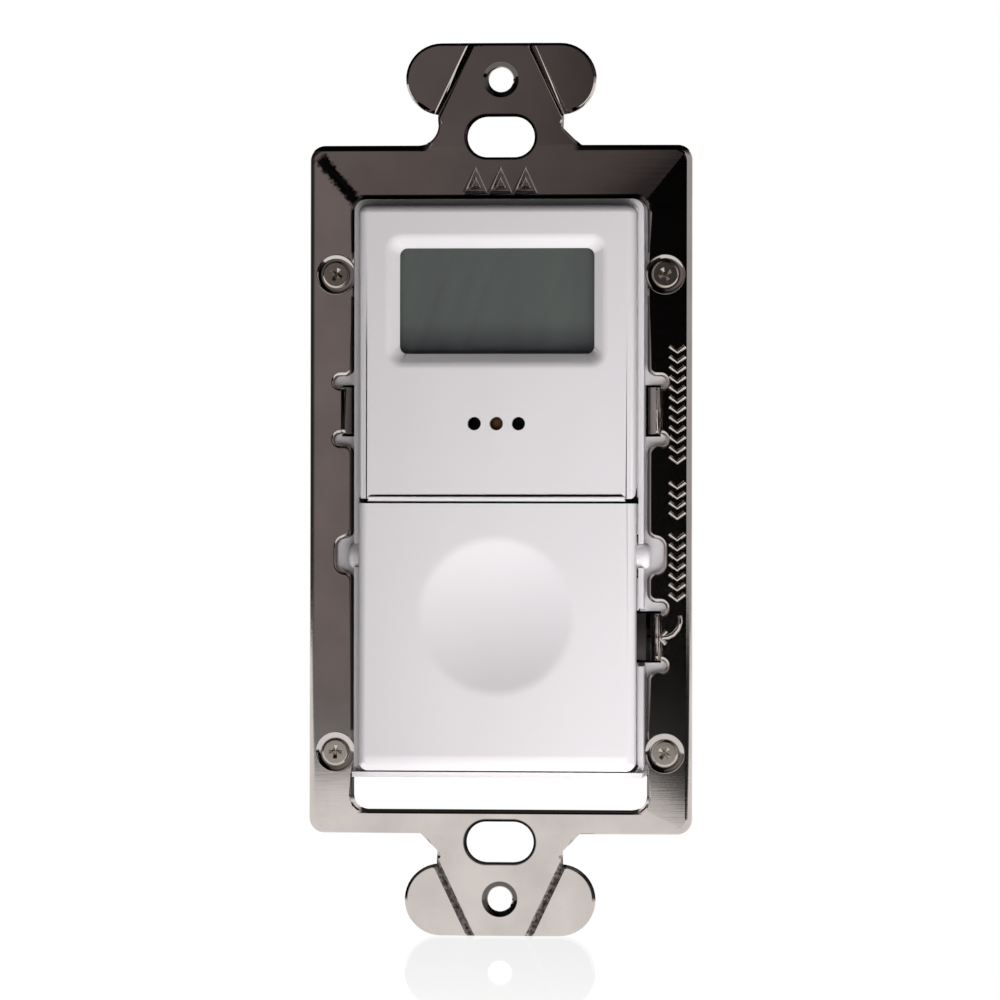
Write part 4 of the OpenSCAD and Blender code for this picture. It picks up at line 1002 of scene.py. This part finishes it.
class SWITCH_OT_shells(bpy.types.Operator):
    """Softens the panel, the door and the housings"""

    bl_idname = "timer_switch.shells"
    bl_label = "Face shells"

    def execute(self, context):
        sizes = context.scene.switch_sizes
        door = node_copy("door", "door_shell")

        def foot(middle, first, second):
            return abs(middle.x) < DOOR_HIGH.x and FOOT_LOW < middle.z < FOOT_HIGH \
                and first.angle(second) > FOOT_BEND

        def seam(middle, first, second):
            return abs(middle.y - DOOR_LOW.y) < TOUCH and first.angle(second) > SQUARE \
                and min(abs(middle.z - DOOR_HIGH.z), abs(middle.z - FACE_LOW.z)) < TOUCH

        def slope(middle, first, second):
            return abs(middle.y - FACE_LOW.y) < TOUCH and SLOPE_BEND[0] < first.angle(second) < SLOPE_BEND[1]

        self.dish(door, sizes.dish_rim)
        bevel(door, foot, sizes.door_foot, 8)
        bevel(door, seam, sizes.seam_edge, 3, clamp=True)
        smooth(door)
        seat(door, "door", "white_face", "door")
        for node, name, slot in (("display_bezel", "panel_shell", "white_face"),
                                 ("front_housing", "front_frame", "white_moulding"),
                                 ("rear_housing", "rear_case", "housing_plastic")):
            piece = node_copy(node, name)
            if node == "display_bezel":
                bevel(piece, seam, sizes.seam_edge, 3, clamp=True)
                bevel(piece, slope, sizes.slope_edge, 4)
            smooth(piece)
            seat(piece, "frame", slot, node)
        inner = FACE_HIGH.x + LIP_GAP
        for row, (low, high) in enumerate(LIP_ROWS):
            self.lip(f"collar_lip_right_{row}", inner, COLLAR_IN, low * MM, high * MM)
            self.lip(f"collar_lip_left_{row}", -COLLAR_IN, -inner, low * MM, high * MM)
        bead = raised_lines("collar_lip_top", [self.top_run()], lambda x, z: LIP_FRONT + BEAD_R, BEAD_R)
        seat(bead, "frame", "white_moulding")
        return {"FINISHED"}

    def dish(self, door, rim):
        """Sinks the finger dish again, with a soft rim that reaches this far to each side of its edge."""
        inner = DISH_R - rim
        slope = DISH_DEPTH / (rim + inner / 2)
        turns = [1 - 2 * step / DISH_STEPS for step in range(1, DISH_STEPS + 1)]
        profile = [(DISH_R + rim * turn, slope * rim * (1 - turn) ** 2 / 4) for turn in turns]
        for step in range(1, DISH_RINGS):
            radius = inner * (1 - step / DISH_RINGS)
            sunk = slope * (inner ** 2 - radius ** 2) / (2 * inner)
            profile.append((radius, slope * rim + sunk))
        skin, spare, inside = mm(0.003, 0.05, 0.02)
        with editing(door, "VERT"):
            select_vertices(door, lambda place: skin < place.y - DOOR_LOW.y < DISH_DEPTH + spare
                            and Vector((place.x, place.z - DISH_Z)).length < DISH_R - inside)
            bpy.ops.mesh.delete(type="VERT")
        with editing(door, "EDGE"):
            bpy.ops.mesh.select_non_manifold(extend=False, use_wire=False, use_boundary=True,
                                             use_multi_face=False, use_non_contiguous=False, use_verts=False)
            radius, depth = DISH_R + rim, 0.0
            grow = radius / DISH_R
            bpy.ops.transform.resize(value=(grow, 1, grow), center_override=(0, DOOR_LOW.y, DISH_Z))
            for next_radius, next_depth in profile:
                shrink = next_radius / radius
                bpy.ops.mesh.extrude_edges_move(TRANSFORM_OT_translate={"value": (0, next_depth - depth, 0)})
                bpy.ops.transform.resize(value=(shrink, 1, shrink), center_override=(0, 0, DISH_Z))
                radius, depth = next_radius, next_depth
            bpy.ops.mesh.edge_face_add()
            bpy.ops.mesh.select_all(action="SELECT")
            bpy.ops.mesh.normals_make_consistent(inside=False)

    def top_run(self):
        """Middle of the gap above the face, from side to side round both corners, wider in the corners."""
        right = []
        for step in range(BEAD_STEPS + 1):
            turn = step / BEAD_STEPS * math.pi / 2
            right.append((BEAD_TURN.x + BEAD_BEND * math.cos(turn), BEAD_TURN.y + BEAD_BEND * math.sin(turn),
                          1 + BEAD_SWELL * math.sin(2 * turn)))
        return right + [(-x, z, share) for x, z, share in reversed(right)]

    def lip(self, name, left, right, low, high):
        """A lip inside the collar that closes the gap beside the face."""
        piece = block((right - left, LIP_BACK - LIP_FRONT, high - low),
                      ((left + right) / 2, (LIP_FRONT + LIP_BACK) / 2, (low + high) / 2))
        piece.name = name
        bevel(piece, lambda m, a, b: m.y < LIP_FRONT + TOUCH, LIP_EDGE, 2)
        smooth(piece)
        seat(piece, "frame", "white_moulding")


class SWITCH_OT_keys(bpy.types.Operator):
    """Rounds the keys behind the door and raises a sign on each"""

    bl_idname = "timer_switch.keys"
    bl_label = "Keys"

    def execute(self, context):
        sizes = context.scene.switch_sizes
        for node, lines in SIGNS.items():
            low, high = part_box(node)
            middle = (low + high) / 2
            key = node_copy(node, node + "_cap")
            bevel(key, lambda m, a, b: abs(m.y - low.y) < TOUCH and a.angle(b) > SQUARE,
                  sizes.key_edge, 3, clamp=True)
            smooth(key)
            seat(key, node, "key_plastic", node)
            placed = [[(middle.x + x * MM, middle.z + z * MM) for x, z in line] for line in lines]
            sign = raised_lines(node + "_sign", placed, lambda x, z: low.y, sizes.sign_wire)
            seat(sign, node, "white_face")
        return {"FINISHED"}


class SWITCH_OT_inner_parts(bpy.types.Operator):
    """Gives every construction node that still shows its own finish"""

    bl_idname = "timer_switch.inner_parts"
    bl_label = "Inner parts"

    def execute(self, context):
        slots = {row["node"]: row["material_slot"] for row in frame["record"]["subparts"]}
        for name, node in NODES.items():
            if not node.hide_render:
                node.data.materials.clear()
                node.data.materials.append(material_for(slots[name]))
        return {"FINISHED"}


class SWITCH_OT_studio(bpy.types.Operator):
    """Sets up the floor, the light and the camera"""

    bl_idname = "timer_switch.studio"
    bl_label = "Studio"

    def execute(self, context):
        settings = context.scene.switch_studio
        context.scene.view_settings.view_transform = "Standard"
        self.floor(settings)
        self.card(settings)
        self.world(context, settings)
        self.camera(context, settings)
        return {"FINISHED"}

    def plane(self, name, middle, wide, high, turn):
        """A rectangle with an empty material of its own, and the wiring of that material."""
        bpy.ops.object.select_all(action="DESELECT")
        bpy.ops.mesh.primitive_plane_add(size=1, location=middle, rotation=(turn, 0, 0))
        piece = bpy.context.object
        piece.name = name
        piece.scale = (wide, high, 1)
        settle(piece)
        material = bpy.data.materials.new("studio_" + name)
        material.use_nodes = True
        material.node_tree.nodes.clear()
        piece.data.materials.append(material)
        return piece, Wiring(material.node_tree)

    def floor(self, settings):
        """A white glossy floor that lights the object from below."""
        wide = 2 * settings.floor_half
        floor, wiring = self.plane("floor", (0, 0, STRAP_LOW.z), wide, wide, 0)
        side, depth, _ = wiring.axes("Object")
        end = wiring.math("MINIMUM", wiring.remap(side, *PATCH_LEFT, "LINEAR"),
                          wiring.remap(side, *PATCH_RIGHT, "LINEAR"))
        past = wiring.minus(wiring.product(depth, -1.0), end)
        shiny = wiring.mix(wiring.remap(past, *PATCH_EDGE), PATCH_LIGHT, wiring.remap(side, *PATCH_PAST))
        matt = wiring.product(wiring.remap(side, *FLOOR_LEFT), settings.floor_light,
                              wiring.remap(side, *FLOOR_RIGHT), wiring.remap(depth, *FLOOR_NEAR),
                              wiring.remap(depth, *FLOOR_FAR))
        glow = wiring.add("ShaderNodeEmission", {"Strength": wiring.by_ray(matt, shiny)})
        gloss = wiring.add("ShaderNodeBsdfGlossy", {"Color": WHITE, "Roughness": FLOOR_GLOSS})
        fresnel = wiring.add("ShaderNodeFresnel", {"IOR": FLOOR_INDEX}).outputs["Fac"]
        seen = wiring.add("ShaderNodeLightPath").outputs["Is Camera Ray"]
        sheen = wiring.product(fresnel, wiring.remap(depth, *SHEEN_DEPTH), settings.floor_sheen, seen)
        layers = {0: sheen, 1: glow.outputs["Emission"], 2: gloss.outputs["BSDF"]}
        both = wiring.add("ShaderNodeMixShader", layers)
        wiring.add("ShaderNodeOutputMaterial", {"Surface": both.outputs["Shader"]})

    def card(self, settings):
        """A card that only shiny faces see: brown on the left and black round the camera."""
        middle = ((CARD_LEFT + CARD_RIGHT) / 2, settings.card_y, (STRAP_LOW.z + CARD_TOP) / 2)
        card, wiring = self.plane("card", middle, CARD_RIGHT - CARD_LEFT, CARD_TOP - STRAP_LOW.z, math.pi / 2)
        side, _, up = wiring.axes("Object")
        slant = wiring.minus(side, wiring.remap(up, *CARD_SLANT, "LINEAR"))
        share = wiring.remap(slant, CARD_LEFT, CARD_RIGHT, 0.0, 1.0, "LINEAR")
        brown = wiring.add("ShaderNodeValToRGB", {"Fac": share})
        stops = brown.color_ramp.elements
        while len(stops) < len(CARD_TONES):
            stops.new(1.0)
        for stop, (place, tone) in zip(stops, CARD_TONES):
            stop.position = place
            stop.color = (*shade(CARD_TINT, tone), 1.0)
        light = {"Color": brown.outputs["Color"], "Strength": wiring.remap(up, *CARD_FADE)}
        glow = wiring.add("ShaderNodeEmission", light)
        wiring.add("ShaderNodeOutputMaterial", {"Surface": glow.outputs["Emission"]})
        card.visible_camera = False
        card.visible_diffuse = False
        card.visible_transmission = False
        card.visible_shadow = False

    def world(self, context, settings):
        """White behind; a dim room with one bright side for what shines, soft light for what is matt."""
        world = bpy.data.worlds.new("studio")
        context.scene.world = world
        world.use_nodes = True
        world.node_tree.nodes.clear()
        wiring = Wiring(world.node_tree)
        side, back, up = wiring.axes("Generated")
        behind, low = wiring.remap(back, *ROOM_BEHIND), wiring.remap(up, *ROOM_LOW)
        dim = wiring.product(wiring.remap(side, *ROOM_LEFT), wiring.remap(up, *ROOM_UP),
                             wiring.remap(side, *ROOM_MIDDLE))
        shiny = wiring.total(dim, wiring.product(wiring.remap(side, *ROOM_LAMP), low), behind)
        matt = wiring.total(wiring.product(wiring.remap(side, *ROOM_RIGHT), settings.side_light, low),
                            wiring.product(low, settings.room_light), wiring.product(behind, BEHIND_MATT))
        light = {"Color": WHITE, "Strength": wiring.by_ray(matt, shiny)}
        background = wiring.add("ShaderNodeBackground", light)
        wiring.add("ShaderNodeOutputWorld", {"Surface": background.outputs["Background"]})

    def camera(self, context, settings):
        """The camera, level, a little to the right of the middle."""
        camera = bpy.data.cameras.new("camera")
        camera.sensor_width = SENSOR
        camera.lens = SENSOR * settings.distance / settings.frame_height
        camera.clip_start, camera.clip_end = CLIP
        eye = link(bpy.data.objects.new("camera", camera))
        aim = Vector((settings.aim_x, 0, settings.aim_z))
        back = Vector((math.sin(settings.azimuth), -math.cos(settings.azimuth), 0))
        turn = (-back).to_track_quat("-Z", "Y").to_matrix() @ Matrix.Rotation(settings.roll, 3, "Z")
        eye.matrix_world = Matrix.Translation(aim + back * settings.distance) @ turn.to_4x4()
        context.scene.camera = eye


class SWITCH_PT_sidebar(bpy.types.Panel):
    """Lists the steps and the settings"""

    bl_label = "Timer Light Switch"
    bl_idname = "SWITCH_PT_sidebar"
    bl_space_type = "VIEW_3D"
    bl_region_type = "UI"
    bl_category = "Timer Switch"

    def draw(self, context):
        for step in STEPS:
            self.layout.operator(step.bl_idname)
        for group in GROUPS:
            box = self.layout.box()
            for key in GROUPS[group].__annotations__:
                box.prop(getattr(context.scene, group), key)


GROUPS = {"switch_sizes": SwitchSizes, "switch_finishes": SwitchFinishes, "switch_studio": StudioSettings}
STEPS = (SWITCH_OT_strap, SWITCH_OT_screws, SWITCH_OT_marks, SWITCH_OT_shells, SWITCH_OT_keys,
         SWITCH_OT_inner_parts, SWITCH_OT_studio)


def register():
    for group in GROUPS.values():
        bpy.utils.register_class(group)
    for name, group in GROUPS.items():
        setattr(bpy.types.Scene, name, bpy.props.PointerProperty(type=group))
    for step in (*STEPS, SWITCH_PT_sidebar):
        bpy.utils.register_class(step)


def unregister():
    for step in (SWITCH_PT_sidebar, *reversed(STEPS)):
        bpy.utils.unregister_class(step)
    for name in GROUPS:
        delattr(bpy.types.Scene, name)
    for group in reversed(GROUPS.values()):
        bpy.utils.unregister_class(group)


def main():
    register()
    for step in STEPS:
        area, name = step.bl_idname.split(".")
        getattr(getattr(bpy.ops, area), name)()


if __name__ == "__main__":
    main()
